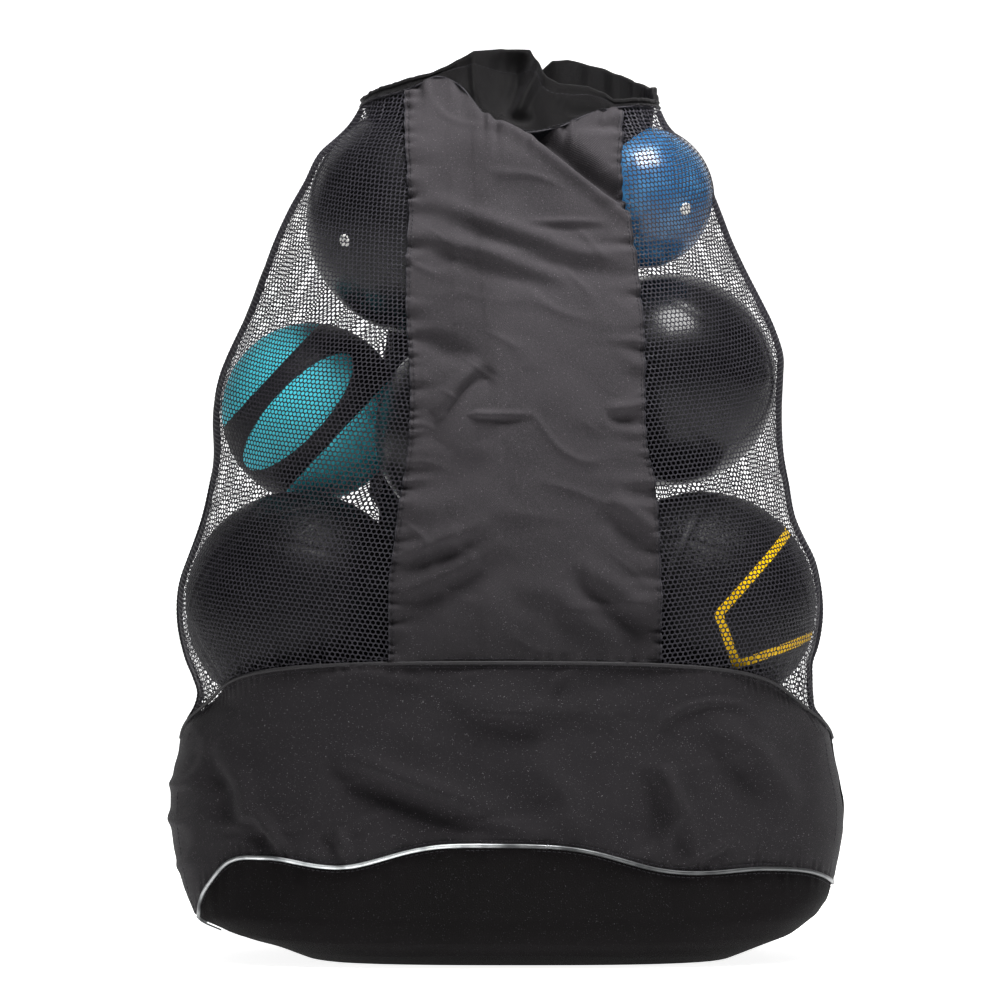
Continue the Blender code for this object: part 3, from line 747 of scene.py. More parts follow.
def started(name, colour, roughness, **constant):
    """A new material, its tree and its Principled shader, with constant inputs on the sockets."""
    made = bpy.data.materials.new(name)
    made.use_nodes = True
    shader = made.node_tree.nodes["Principled BSDF"]
    shader.inputs["Base Color"].default_value = colour
    shader.inputs["Roughness"].default_value = roughness
    for key, value in constant.items():
        shader.inputs[key.replace("_", " ")].default_value = value
    made.diffuse_color = colour
    return made, made.node_tree, shader


def math_node(tree, operation, a, b=0.0, clamp=False):
    return add(tree, "ShaderNodeMath", {0: a, 1: b}, operation=operation, use_clamp=clamp).outputs[0]


def ramp(tree, value, low, high, dark=0.0, bright=1.0):
    """value mapped from low..high to dark..bright, clamped, with eased ends."""
    return add(
        tree,
        "ShaderNodeMapRange",
        {"Value": value, "From Min": low, "From Max": high, "To Min": dark, "To Max": bright},
        interpolation_type="SMOOTHSTEP",
    ).outputs[0]


def mixed(tree, share, first, second):
    return add(
        tree, "ShaderNodeMix", {0: share, 6: first, 7: second}, data_type="RGBA", clamp_factor=True
    ).outputs[2]


def noise(tree, where, size, detail=3.0, rough=0.5):
    """Noise whose lumps are about size metres."""
    return add(
        tree, "ShaderNodeTexNoise", {"Vector": where, "Scale": 1 / size, "Detail": detail, "Roughness": rough}
    ).outputs[0]


def bumped(tree, shader, height, distance, strength=1.0):
    bump = add(tree, "ShaderNodeBump", {"Height": height, "Distance": distance, "Strength": strength})
    tree.links.new(bump.outputs[0], shader.inputs["Normal"])


def coordinates(tree):
    return add(tree, "ShaderNodeTexCoord").outputs["Object"]


def cut_uv(tree):
    return add(tree, "ShaderNodeUVMap", uv_map="Cut").outputs[0]


def woven(name, colour, worn, roughness=0.72, thread=0.0007, lint=0.5, sheen=0.03, shine=0.10, shade=0.0):
    """Woven polyester: threads over and under at the thread's pitch, soft cloudy fading, and specks of lint.

    shade is how much darker the cloth is low down, where it is less faded than at the top.
    """
    made, tree, shader = started(name, linear(colour), roughness, Sheen_Weight=sheen, Sheen_Roughness=0.45)
    shader.inputs["Sheen Tint"].default_value = linear("#c9c6cc")
    shader.inputs["Specular IOR Level"].default_value = shine
    at, cut = coordinates(tree), cut_uv(tree)
    split = add(tree, "ShaderNodeSeparateXYZ", {0: cut})
    beat = 2 * math.pi / (2 * thread)
    over = math_node(tree, "SINE", math_node(tree, "MULTIPLY", split.outputs[0], beat))
    under = math_node(tree, "SINE", math_node(tree, "MULTIPLY", split.outputs[1], beat))
    weave = math_node(tree, "MULTIPLY", over, under)
    cloudy = noise(tree, at, 0.09, 3, 0.5)
    slub = noise(tree, at, 0.0014, 2, 0.7)
    speck = noise(tree, at, 0.0009, 0, 0.5)
    fade = ramp(tree, cloudy, 0.30, 0.75, 0.0, 0.45)
    base = mixed(tree, fade, linear(colour), linear(worn))
    base = mixed(tree, ramp(tree, slub, 0.38, 0.66, 0.0, 0.75), base, linear(worn))
    high = add(tree, "ShaderNodeSeparateXYZ", {0: at}).outputs[2]
    # painted shade: below 0.50 m high the cloth is mixed more and more towards near-black, up to the shade
    # share at 0.30 m and below
    base = mixed(tree, ramp(tree, high, 0.30, 0.50, shade, 0.0), base, linear("#080708"))
    specks = math_node(tree, "MULTIPLY", ramp(tree, speck, 0.76, 0.84), lint, clamp=True)
    base = mixed(tree, specks, base, linear("#8a868a"))
    tree.links.new(base, shader.inputs["Base Color"])
    tree.links.new(ramp(tree, slub, 0.2, 0.8, roughness - 0.08, roughness + 0.1), shader.inputs["Roughness"])
    threads = math_node(tree, "MULTIPLY", weave, 0.6)
    height = math_node(tree, "ADD", threads, math_node(tree, "MULTIPLY", slub, 1.6))
    bumped(tree, shader, height, 0.00035, 0.9)
    return made


def yarn(name, colour, light, roughness=0.50):
    """Knitted polyester yarn: fine fibres along it and small changes of shade."""
    made, tree, shader = started(name, linear(colour), roughness, Specular_IOR_Level=0.12)
    at = coordinates(tree)
    fibre, patch = noise(tree, at, 0.0007, 2), noise(tree, at, 0.05, 3)
    base = mixed(tree, ramp(tree, fibre, 0.35, 0.7), linear(colour), linear(light))
    base = mixed(tree, ramp(tree, patch, 0.3, 0.7, 0.0, 0.3), base, linear(colour))
    tree.links.new(base, shader.inputs["Base Color"])
    bumped(tree, shader, fibre, 0.00015, 0.7)
    return made


def webbing_material():
    """Black polyester webbing: ribs across it every 1.3 mm."""
    made, tree, shader = started("Black polyester webbing", linear("#1c1b1d"), 0.7, Specular_IOR_Level=0.15)
    at, cut = coordinates(tree), cut_uv(tree)
    split = add(tree, "ShaderNodeSeparateXYZ", {0: cut})
    rib = math_node(tree, "SINE", math_node(tree, "MULTIPLY", split.outputs[1], 2 * math.pi / 0.0013))
    cross = math_node(tree, "SINE", math_node(tree, "MULTIPLY", split.outputs[0], 2 * math.pi / 0.0021))
    grain = noise(tree, at, 0.0012, 2)
    base = mixed(tree, ramp(tree, grain, 0.3, 0.7), linear("#171618"), linear("#29272a"))
    tree.links.new(base, shader.inputs["Base Color"])
    height = math_node(tree, "ADD", rib, math_node(tree, "MULTIPLY", cross, 0.5))
    bumped(tree, shader, height, 0.0002, 0.8)
    return made


def reflective_material():
    """Silver reflective tape over piping: glass beads that throw light back, worn dull towards the right."""
    made, tree, shader = started("Silver reflective piping", linear("#b9bcbe"), 0.34, Metallic=0.75)
    at = coordinates(tree)
    wear, bead = noise(tree, at, 0.035, 3), noise(tree, at, 0.0009, 1)
    base = mixed(tree, ramp(tree, wear, 0.42, 0.66), linear("#d2d5d6"), linear("#6b6e70"))
    base = mixed(tree, ramp(tree, bead, 0.4, 0.7, 0.0, 0.25), base, linear("#585a5c"))
    across = add(tree, "ShaderNodeSeparateXYZ", {0: at}).outputs[0]
    # painted shade and painted highlight: the tape is darkened right of about x -0.05 and left of x -0.25, so
    # the band between reads as the bright highlight
    painted_dim_right = ramp(tree, across, -0.08, 0.02, 0.0, 0.86)
    painted_dim = math_node(tree, "MAXIMUM", painted_dim_right, ramp(tree, across, -0.25, -0.29, 0.0, 0.6))
    base = mixed(tree, painted_dim, base, linear("#19191a"))
    tree.links.new(base, shader.inputs["Base Color"])
    tree.links.new(ramp(tree, wear, 0.3, 0.7, 0.26, 0.46), shader.inputs["Roughness"])
    bumped(tree, shader, bead, 0.0001, 0.6)
    return made


def plain_material(name, colour, worn, roughness, grain=0.004, bump=0.0001, **constant):
    """Smooth plastic or metal with faint scuffs that change its shade and gloss."""
    made, tree, shader = started(name, linear(colour), roughness, **constant)
    at = coordinates(tree)
    scuff, fine = noise(tree, at, grain * 6, 4, 0.65), noise(tree, at, grain, 3)
    base = mixed(tree, ramp(tree, scuff, 0.4, 0.75), linear(colour), linear(worn))
    tree.links.new(base, shader.inputs["Base Color"])
    tree.links.new(ramp(tree, fine, 0.3, 0.7, roughness - 0.05, roughness + 0.08), shader.inputs["Roughness"])
    bumped(tree, shader, fine, bump, 0.5)
    return made


def ball_material(
    name, colour, worn, roughness, pebble=0.0, second=None, line_width=0.0035, line="#060606", **extra
):
    """Ball cover. seam is the distance from a channel, mark is above 0 where the second colour shows."""
    made, tree, shader = started(name, linear(colour), roughness, **extra)
    at = coordinates(tree)
    seam = add(tree, "ShaderNodeAttribute", attribute_name="seam").outputs["Fac"]
    mark = add(tree, "ShaderNodeAttribute", attribute_name="mark").outputs["Fac"]
    dirt = noise(tree, at, 0.03, 4, 0.6)
    base = mixed(tree, ramp(tree, dirt, 0.4, 0.8), linear(colour), linear(worn))
    channel = ramp(tree, seam, line_width * 0.5, line_width * 0.5 + 0.0006, 1.0, 0.0)
    base = mixed(tree, channel, base, linear(line))
    if second:
        base = mixed(tree, ramp(tree, mark, -0.0004, 0.0004), base, linear(second))
    tree.links.new(base, shader.inputs["Base Color"])
    tree.links.new(ramp(tree, dirt, 0.3, 0.8, roughness - 0.04, roughness + 0.1), shader.inputs["Roughness"])
    if pebble:
        cells = add(
            tree,
            "ShaderNodeTexVoronoi",
            {"Vector": at, "Scale": 1 / pebble},
            feature="SMOOTH_F1",
        ).outputs["Distance"]
        pebbles = ramp(tree, cells, 0.15, 0.6, 1.0, 0.0)
        height = math_node(tree, "MULTIPLY", pebbles, ramp(tree, seam, 0.002, 0.004))
        bumped(tree, shader, height, 0.0005, 0.9)
    else:
        bumped(tree, shader, noise(tree, at, 0.0016, 2), 0.00006, 0.5)
    return made


MATERIALS = {}


def make_materials(colours):
    """Every material of the bag, by the part that it is for."""
    # Black polyester canvas of the panels, dusty on its folds, with painted shade that darkens it low down.
    MATERIALS["canvas"] = woven("Black polyester canvas", colours.canvas, "#383538", lint=0.40, shade=0.60)
    # The collar's smoother, closer-woven cloth.
    MATERIALS["collar"] = woven(
        "Smooth black lining cloth", "#080707", "#0f0e0f", roughness=0.5, lint=0.1, shine=0.07
    )
    # The same canvas, coated, round the base. Its colour is set darker than the panels' as painted shade for
    # the low wall, which gets less of the overhead light.
    MATERIALS["base"] = woven("Coated black canvas", colours.base, "#201e20", roughness=0.66, lint=0.6)
    # Black cloth of the bowl, kept darker than the base as painted shade: it stands in for the shade under the
    # bag, against the light thrown up by the white floor.
    MATERIALS["bowl"] = woven(
        "Heavy black base cloth", colours.bowl, "#100e0f", roughness=0.7, lint=0.2, sheen=0.0, shine=0.04
    )
    MATERIALS["net"] = yarn("Black knitted polyester net", colours.net, "#36343a")
    MATERIALS["silver"] = reflective_material()
    MATERIALS["piping"] = yarn("Black piping cord cover", "#1c1b1c", "#302f31", 0.55)
    MATERIALS["thread"] = yarn("Black sewing thread", "#1c1b1e", "#323035", 0.6)
    MATERIALS["webbing"] = webbing_material()
    MATERIALS["buckle"] = plain_material("Black acetal plastic", "#111112", "#222224", 0.36)
    MATERIALS["eyelet"] = plain_material("Nickel-plated brass", "#b9b6b0", "#8e8b86", 0.24, Metallic=1.0)
    MATERIALS["valve"] = plain_material("White rubber valve", "#fbfaf6", "#e9e7e1", 0.45, grain=0.001)
    MATERIALS["black"] = ball_material(
        "Smooth black ball rubber", "#060607", "#0c0c0e", 0.30, Specular_IOR_Level=0.34
    )
    MATERIALS["gloss"] = ball_material(
        "Glossy black ball cover", "#070708", "#0e0e0f", 0.28, Specular_IOR_Level=0.25, Coat_Weight=0.1
    )
    MATERIALS["pebbled"] = ball_material(
        "Pebbled black rubber",
        "#050506",
        "#0a0a0b",
        0.42,
        pebble=0.0028,
        second="#f2c200",
        Specular_IOR_Level=0.14,
    )
    MATERIALS["blue"] = ball_material(
        "Blue vinyl", colours.blue, "#4788b9", 0.26, line="#123a66", line_width=0.0016, Coat_Weight=0.3
    )
    MATERIALS["teal"] = ball_material(
        "Teal and charcoal pebbled rubber",
        "#0f0f12",
        "#19191c",
        0.5,
        pebble=0.0026,
        second=colours.teal,
        Specular_IOR_Level=0.2,
    )


# ---------------------------------------------------------------- base of the bag


def finished(obj, body="bag"):
    """Puts a piece on its body and names the finish that it takes from the record."""
    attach(obj, body)
    return obj


def declared(points):
    """Declares a grid piece as a sheet: its flat size is its widest row by its longest column."""
    across = np.linalg.norm(np.diff(points, axis=1), axis=2).sum(1).max()
    up = np.linalg.norm(np.diff(points, axis=0), axis=2).sum(0).max()
    a, b = points[1:, 1:] - points[:-1, :-1], points[1:, :-1] - points[:-1, 1:]
    area = float(np.linalg.norm(np.cross(a, b), axis=2).sum() / 2)
    area = min(area, float(across * up))


def puckers(distance, along, seed, rise=0.0011, pitch=0.0105, reach=0.010):
    """Small gathers next to a seam: waves along it that die away from it."""
    wander = 0.35 * pitch * waves(along, 0 * along, seed, 0.05)
    beat = np.sin(2 * math.pi * (along + wander) / pitch)
    size = 0.55 + 0.75 * waves(along, 0 * along, seed + 1, 0.05)
    longer = reach * (0.8 + 0.5 * waves(along, 0 * along, seed + 2, 0.06))
    return rise * size * beat * np.exp(-((distance / longer) ** 2))


def make_base(sizes):
    """Bowl, base wall in two halves, both rows of piping and their stitching."""
    turn = np.linspace(-math.pi, math.pi, 481)[:-1]
    rim = lower_seam(turn)
    rings = [skin(turn, 0 * turn, share) + (0, 0, 0.0004) for share in np.linspace(0.02, 0.97, 12)]
    for share in np.concatenate([[0.0, 0.015, 0.035, 0.06], np.linspace(0.1, 1.0, 26)]):
        height = rim * share
        place, out = bag(turn, height)
        lump = 0.0016 * waves(place[:, 0], place[:, 1] + height, 5, 0.09) * ease(share * 3)
        scuff = puckers((rim - height), turn * 0.33, 11, rise=0.0013, pitch=0.034, reach=0.030)
        place += out * (lump + scuff)[:, None]
        place[:, 2] = np.maximum(place[:, 2], 0.0004)
        rings.append(place)
    rings = np.array(rings)
    bowl = cloth_grid("bowl", rings, MATERIALS["bowl"], closed=True)
    middle = rings[0].mean(0)
    hub = np.concatenate([rings[0], [middle]])
    fan = np.stack([np.full(480, 480), (np.arange(480) + 1) % 480, np.arange(480)], axis=1)
    centre = mesh_piece("bowl_centre", hub, fan, MATERIALS["bowl"], uv=hub[:, :2])
    finished(bowl)
    finished(centre)
    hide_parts("bottom_panel")
    for name, start in (("base_wall_front", -math.pi / 2), ("base_wall_back", math.pi / 2)):
        front = start < 0
        edges = lambda height, start=start: (start + 0 * height, start + math.pi + 0 * height)
        angle, height, _, up = panel_grid(edges, lower_seam, upper_seam, (420, 120))
        place, out = bag(angle, height)
        x = place[..., 0]
        lump = creased(x, height, WALL_CREASES) if front else 0.5 * creased(-x, height, WALL_CREASES[3:7])
        lump = lump * sizes.crease * ease(up / 0.12) * ease((1 - up) / 0.12)
        lump += 0.0026 * waves(0.6 * x, height, 21 + front, 0.10) + 0.0007 * waves(x, height, 23, 0.035)
        lump += 0.0034 * crumpled(0.6 * x, height, 25, 0.10) * ease(up / 0.1) * ease((1 - up) / 0.1)
        deep = upper_seam(angle) - lower_seam(angle)
        along = angle * 0.32
        lump += puckers((1 - up) * deep, along, 31, rise=0.0013, pitch=0.016, reach=0.014)
        lump += puckers(up * deep, along, 35, rise=0.0014, pitch=0.019, reach=0.016)
        near_top = np.exp(-(((1 - up) * deep - 0.0046) / 0.0012) ** 2)
        lump -= 0.0007 * (near_top + np.exp(-((up * deep - 0.0050) / 0.0012) ** 2))
        place = clear_of_balls(place + out * lump[..., None])
        wall = finished(cloth_grid(name + "_cloth", place, MATERIALS["base"]))
        declared(place)
        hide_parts(name)
    for name, seam, radius, key, slot in (
        ("lower_piping", lower_seam, sizes.silver_piping / 2, "silver", "reflective_piping"),
        ("upper_piping", upper_seam, sizes.black_piping / 2, "piping", "black_piping"),
    ):
        turn = np.linspace(-math.pi, math.pi, 721)[:-1]
        height = seam(turn)
        path, out = bag(turn, height, lift=radius * 0.7)
        uneven = radius * (1 + 0.04 * waves(turn, 0 * turn, 3, 0.2))
        cord = joined(name + "_cord", [tube_mesh(path, out, uneven, 12, closed=True)], MATERIALS[key])
        finished(cord)
        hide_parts(name)
    tail_turn = np.radians(np.linspace(-75, -80, 12))
    tail, out = bag(tail_turn, np.linspace(0.046, 0.028, 12), lift=0.003)
    tail_mesh = tube_mesh(tail, out, sizes.silver_piping / 2 * np.linspace(1, 0.7, 12), 10, flat=0.5)
    finished(joined("piping_tail", [tail_mesh], MATERIALS["silver"]))
    rows = []
    for seam, shift in (
        (upper_seam, -0.0046),
        (upper_seam, 0.0042),
        (lower_seam, 0.0050),
        (lower_seam, -0.0050),
    ):
        turn = np.linspace(-math.pi, math.pi, 900)
        height = seam(turn) + shift
        path, out = bag(turn, height, lift=0.0003)
        rows.append(stitch_row(path, out))
    for side in (-1, 1):
        turn = np.array(side * 1.45)
        height = np.linspace(lower_seam(turn) + 0.006, upper_seam(turn) - 0.006, 60)
        path, out = bag(np.full(60, side * math.radians(78)), height, lift=0.0006)
        rows.append(stitch_row(path, out))
    finished(joined("base_stitches", rows, MATERIALS["thread"]))


# ---------------------------------------------------------------- panels and net


def make_panels(sizes):
    """Front and back canvas panel, gathered along the net, with a stitched fold down each edge."""
    rows = []
    for name, edges, creases, cells in (
        ("front_panel", front_edges, PANEL_CREASES, (200, 420)),
        ("back_panel", back_edges, (), (160, 300)),
    ):
        angle, height = panel_grid(edges, upper_seam, collar_seam, cells)[:2]
        place, out = bag(angle, height, lift=0.0008)
        x = place[..., 0]
        start, end = (skin(edge, height)[..., 0] for edge in edges(height))
        left, right = np.abs(x - start), np.abs(x - end)
        lump = creased(x, height, creases)
        inside = ease(np.minimum(left, right) / 0.012)
        lump *= (0.35 + 0.65 * inside) * sizes.crease
        lump += 0.0034 * waves(0.5 * x, height, 41, 0.12) + 0.0008 * waves(x, height, 43, 0.045, 6)
        lump += 0.0038 * crumpled(0.55 * x, height, 45, 0.11) + 0.0019 * crumpled(x, height, 47, 0.06)
        lump += puckers(left, height, 51, rise=0.0030) + puckers(right, height, 57, rise=0.0030)
        lump += puckers(left, height, 53, rise=0.0036, pitch=0.026, reach=0.030)
        lump += puckers(right, height, 59, rise=0.0036, pitch=0.029, reach=0.032)
        foot = height - upper_seam(angle)
        head = collar_seam(angle) - height
        lump += puckers(foot, x, 61, rise=0.0012, pitch=0.017, reach=0.016)
        lump += puckers(head, x, 63, rise=0.0028, pitch=0.021, reach=0.022)
        rim = np.exp(-((left / 0.0016) ** 2)) + np.exp(-((right / 0.0016) ** 2))
        groove = np.exp(-(((left - 0.0042) / 0.0011) ** 2)) + np.exp(-(((right - 0.0042) / 0.0011) ** 2))
        lump += 0.0004 * rim - 0.0006 * groove
        place = clear_of_balls(place + out * lump[..., None])
        panel = finished(cloth_grid(name + "_cloth", place, MATERIALS["canvas"]))
        declared(place)
        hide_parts(name)
        step = 4 if name == "front_panel" else 3
        for column in (step, -1 - step):
            rows.append(stitch_row(place[4:-4, column] + out[4:-4, column] * 0.0003, out[4:-4, column]))
        for line, column in ((place[:, 0], 0), (place[:, -1], -1)):
            rows.append(tube_mesh(line[2:-2] - out[2:-2, column] * 0.0004, out[2:-2, column], 0.0011, 6))
    finished(joined("panel_edges", rows, MATERIALS["thread"]))


def make_net(sizes):
    """Knitted net of each side in a front and a back half. Every hole is a hexagon with a border of yarn.

    The honeycomb is laid out flat, with s along the cloth from the side line and t up it, and then wrapped on
    the settled form. The border of a hole is the ring between its cell and the cell shrunk towards its middle.
    """
    pitch, strand = sizes.net_pitch, sizes.net_strand
    rise = pitch * 0.866 * 0.96  # the rows of an even honeycomb, drawn slightly together
    levels = np.arange(0.20, 0.93, ROW_STEP)
    reach = np.linspace(-0.44, 0.44, 441)
    spread = np.linspace(-math.pi / 2, math.pi / 2, 241)
    for sign, hand in ((-1, "left"), (1, "right")):
        side = sign * math.pi / 2
        table = []
        for level in levels:
            line = skin(side - sign * spread, np.full_like(spread, level))
            run = np.concatenate([[0], np.cumsum(np.linalg.norm(np.diff(line, axis=0), axis=1))])
            table.append(np.interp(reach, run - run[len(spread) // 2], spread))
        table = np.array(table)
        slope = skin(np.full_like(levels, side - sign * 0.3), levels)
        climb = np.concatenate([[0], np.cumsum(np.linalg.norm(np.diff(slope, axis=0), axis=1))])

        def placed(s, t):
            """Angle and height of a point of the flat net."""
            height = np.interp(t - LEAN * s, climb, levels)
            row = np.clip((height - levels[0]) / ROW_STEP, 0, len(levels) - 1.001)
            column = np.clip((s - reach[0]) / (reach[1] - reach[0]), 0, len(reach) - 1.001)
            r, c = row.astype(int), column.astype(int)
            fr, fc = row - r, column - c
            upper = table[r + 1, c] * (1 - fc) + table[r + 1, c + 1] * fc
            lower = table[r, c] * (1 - fc) + table[r, c + 1] * fc
            return side - sign * (lower * (1 - fr) + upper * fr), height

        def limits(height):
            """Lowest and highest angle of the net, at its two upright seams."""
            front = front_edges(height)[0 if sign < 0 else 1]
            back = back_edges(height)[1] - 2 * math.pi if sign < 0 else back_edges(height)[0]
            return (back, front) if sign < 0 else (front, back)

        def on_cloth(s, t):
            """Point of the flat net on the bag, held inside the net's four seams."""
            angle, height = placed(s, t)
            low, high = limits(height)
            angle = np.clip(angle, low, high)
            height = np.clip(height, upper_seam(angle), collar_seam(angle))
            place, out = bag(angle, height)
            along = angle * 0.33
            gather = puckers(height - upper_seam(angle), along, 71, rise=0.0030, pitch=0.024, reach=0.040)
            gather += puckers(collar_seam(angle) - height, along, 73, rise=0.0011, pitch=0.030, reach=0.050)
            edge = np.minimum(np.abs(angle - low), np.abs(high - angle)) * 0.3
            gather += puckers(edge, height, 75, rise=0.0016, pitch=0.013, reach=0.016)
            drape = 0.0022 * waves(along, height, 77, 0.14)
            to_seam = np.minimum(height - upper_seam(angle), collar_seam(angle) - height)
            free = ease(np.minimum(edge, to_seam) / 0.008)
            place = place + out * ((gather + drape) * (0.25 + 0.75 * free))[..., None]
            return clear_of_balls(place, 0.0016), out

        columns, lines = int(0.40 / pitch), int(climb[-1] / rise) + 12
        j, i = np.meshgrid(np.arange(-12, lines), np.arange(-columns, columns + 1), indexing="ij")
        middle_s, middle_t = (i + 0.5 * (j % 2)) * pitch, j * rise
        angle, height = placed(middle_s, middle_t)
        low, high = limits(height)
        inside = (angle > low) & (angle < high)
        inside &= (height > upper_seam(angle)) & (height < collar_seam(angle))
        for half, chosen in (("front", inside & (middle_s > 0)), ("back", inside & (middle_s <= 0))):
            s, t = middle_s[chosen], middle_t[chosen]
            ds = np.array([0, 0.5, 0.5, 0, -0.5, -0.5]) * pitch
            dt = np.array([2, 1, -1, -2, -1, 1]) / 3 * rise
            corner_s, corner_t = s[:, None] + ds, t[:, None] + dt
            keep = 1 - strand / pitch
            soft = keep * np.array([0.94, 1.0, 1.0, 0.94, 1.0, 1.0])
            inner_s, inner_t = s[:, None] + ds * soft, t[:, None] + dt * soft
            key = np.round(np.stack([corner_s, corner_t], -1).reshape(-1, 2) / (pitch / 12)).astype(np.int64)
            _, first, index = np.unique(key, axis=0, return_index=True, return_inverse=True)
            outer_s, outer_t = corner_s.reshape(-1)[first], corner_t.reshape(-1)[first]
            ridge, out = on_cloth(outer_s, outer_t)
            ridge = ridge + out * (strand * 0.32)
            hole, _ = on_cloth(inner_s.reshape(-1), inner_t.reshape(-1))
            index = index.reshape(-1, 6)
            own = len(ridge) + np.arange(hole.shape[0]).reshape(-1, 6)
            after = np.roll(np.arange(6), -1)
            faces = np.stack([index, own, own[:, after], index[:, after]], axis=-1).reshape(-1, 4)
            if sign < 0:
                faces = faces[:, ::-1]
            piece = mesh_piece(f"net_{hand}_{half}", np.concatenate([ridge, hole]), faces, MATERIALS["net"])
            finished(piece)
            if half == "front":
                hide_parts("net_" + hand)
    make_side_seams(sizes)


def make_side_seams(sizes):
    """The net's halves meet at each side in a turned seam: a dense ribbed fin of doubled net."""
    for sign, hand in ((-1, "left"), (1, "right")):
        side = np.array(sign * math.radians(88))
        height = np.linspace(float(upper_seam(side)), float(collar_seam(side)) - 0.002, 560)
        path, out = bag(np.full_like(height, side), height)
        level = unit(out * (1, 1, 0))
        climb = np.concatenate([[0], np.cumsum(np.linalg.norm(np.diff(path, axis=0), axis=1))])
        rib = np.sin(2 * math.pi * climb / sizes.seam_rib)
        wander = 0.0016 * waves(climb, 0 * climb, 91, 0.10)
        centre = path - level * (sizes.seam_fin / 2 - 0.0015 + wander)[:, None] + np.array((0, -0.004, 0))
        width = sizes.seam_fin * (1 + 0.05 * rib)
        thick = 0.0022 + 0.0009 * rib
        piece = band_piece(f"net_seam_{hand}", centre, level, width, thick, MATERIALS["net"], 0.5, 8)
        finished(piece)


# ---------------------------------------------------------------- collar


# Section of an eyelet from its rim inwards: share of its radius, and height above the cloth.
EYELET_PROFILE = (
    (1.0, -0.0006),
    (0.98, 0.0006),
    (0.86, 0.0013),
    (0.70, 0.0014),
    (0.60, 0.0006),
    (0.56, -0.0010),
    (0.58, -0.004),
)


def make_collar(sizes):
    """Canvas collar round the mouth: up the outside, over a rolled cord tunnel and down the inside."""
    turn = np.linspace(-math.pi, math.pi, 641)[:-1]
    low, high = collar_seam(turn), collar_top(turn)
    roll = sizes.tunnel / 2
    rings = []
    ahead = ease(0.5 + 3 * np.cos(turn))
    for share in np.linspace(0, 1, 40):
        height = low + (high - roll - low) * share
        place, out = bag(turn, height, lift=0.0012)
        x = place[:, 0]
        lump = creased(x, height, COLLAR_CREASES) * ahead + (1 - ahead) * 0.0012 * np.sin(turn * 26)
        lump *= ease(share / 0.2)
        lump += 0.0016 * waves(x * 1.4, height + 0.3 * place[:, 1], 81, 0.05)
        gather = waves(turn, 0 * turn, 87, 0.20)
        lump += 0.0010 * np.sin(turn * 38 + 2.2 * gather) * np.exp(-((share / 0.30) ** 2))
        lump += 0.0006 * np.sin(turn * 31 + 3.0 * gather) * np.exp(-(((1 - share) / 0.25) ** 2))
        lump += roll * 0.55 * ease((share - 0.80) / 0.16) - 0.0008 * np.exp(-(((share - 0.77) / 0.03) ** 2))
        rings.append(place + out * lump[:, None])
    edge = rings[-1]
    level_out = unit(out * (1, 1, 0))
    for bend in np.linspace(0.15, 1.0, 9) * math.pi:
        over = level_out * (roll * (np.cos(bend) - 1))
        rings.append(edge + over + np.array([0, 0, 1.0]) * roll * np.sin(bend))
    inner = rings[-1]
    for share in np.linspace(0.08, 1, 12):
        drop = share * (0.045 + 0 * turn)
        place = inner - level_out * (0.004 * share)
        place[:, 2] -= drop
        rings.append(place)
    rings = np.array(rings)
    collar = cloth_grid("collar_cloth", rings, MATERIALS["collar"], closed=True)
    finished(collar)
    declared(np.concatenate([rings, rings[:, :1]], axis=1))
    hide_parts("collar", "collar_hem")
    rows = []
    for share, lift in ((0.035, 0.0004), (0.77, 0.0002)):
        row = int(share * 39)
        path = rings[row]
        out = unit(np.cross(np.roll(path, -1, 0) - path, rings[row + 1] - path))
        rows.append(stitch_row(path + out * lift, out))
    path, out = bag(turn, low, lift=0.0010)
    rows.append(tube_mesh(path, out, 0.0009, 8, closed=True))
    finished(joined("collar_stitches", rows, MATERIALS["thread"]))
    for hand in ("left", "right"):
        node = "cord_eyelet_" + hand
        lowest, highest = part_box(node)
        centre = np.array((lowest + highest) / 2)
        outer = (highest.z - lowest.z) / 2
        angle = math.pi - float(angle_of(centre[0], centre[2]))
        place, out = bag(np.array([angle]), np.array([centre[2]]))
        spot, facing = centre + out[0] * 0.001, out[0]
        side = unit(np.cross([0, 0, 1.0], facing))
        up = np.cross(facing, side)
        around = np.arange(48) * 2 * math.pi / 48
        circle = np.cos(around)[:, None] * side + np.sin(around)[:, None] * up
        ring = np.array([spot + circle * outer * wide + facing * tall for wide, tall in EYELET_PROFILE])
        faces = grid_faces(len(EYELET_PROFILE), 48, closed=True)
        finished(mesh_piece("eyelet_" + hand, ring, faces, MATERIALS["eyelet"]))
        hole = np.concatenate([ring[-1], [ring[-1].mean(0)]])
        fan = np.stack([np.full(48, 48), np.arange(48), (np.arange(48) + 1) % 48], axis=1)
        dark = mesh_piece("eyelet_hole_" + hand, hole, fan, MATERIALS["bowl"], uv=hole[:, :2])
        finished(dark)
        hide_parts(node)


# ---------------------------------------------------------------- straps


def band(path, way, width, thick, edge=0.35, cells=12):
    """Points of a soft band along a path: a rounded section, width along way. Returned as closed rings."""
    along = unit(np.gradient(path, axis=0))
    way = np.broadcast_to(np.asarray(way, float), path.shape)
    way = unit(way - along * (along * way).sum(1, keepdims=True))
    face = np.cross(along, way)
    turn = (np.arange(4 * cells) + 0.5) * 2 * math.pi / (4 * cells)
    across = np.sign(np.cos(turn)) * np.abs(np.cos(turn)) ** edge
    rise = np.sign(np.sin(turn)) * np.abs(np.sin(turn)) ** (edge * 1.6)
    width, thick = np.broadcast_to(width, (len(path),)), np.broadcast_to(thick, (len(path),))
    return (
        path[:, None]
        + way[:, None] * (across[None] * width[:, None] / 2)[..., None]
        + face[:, None] * (rise[None] * thick[:, None] / 2)[..., None]
    ), way, face


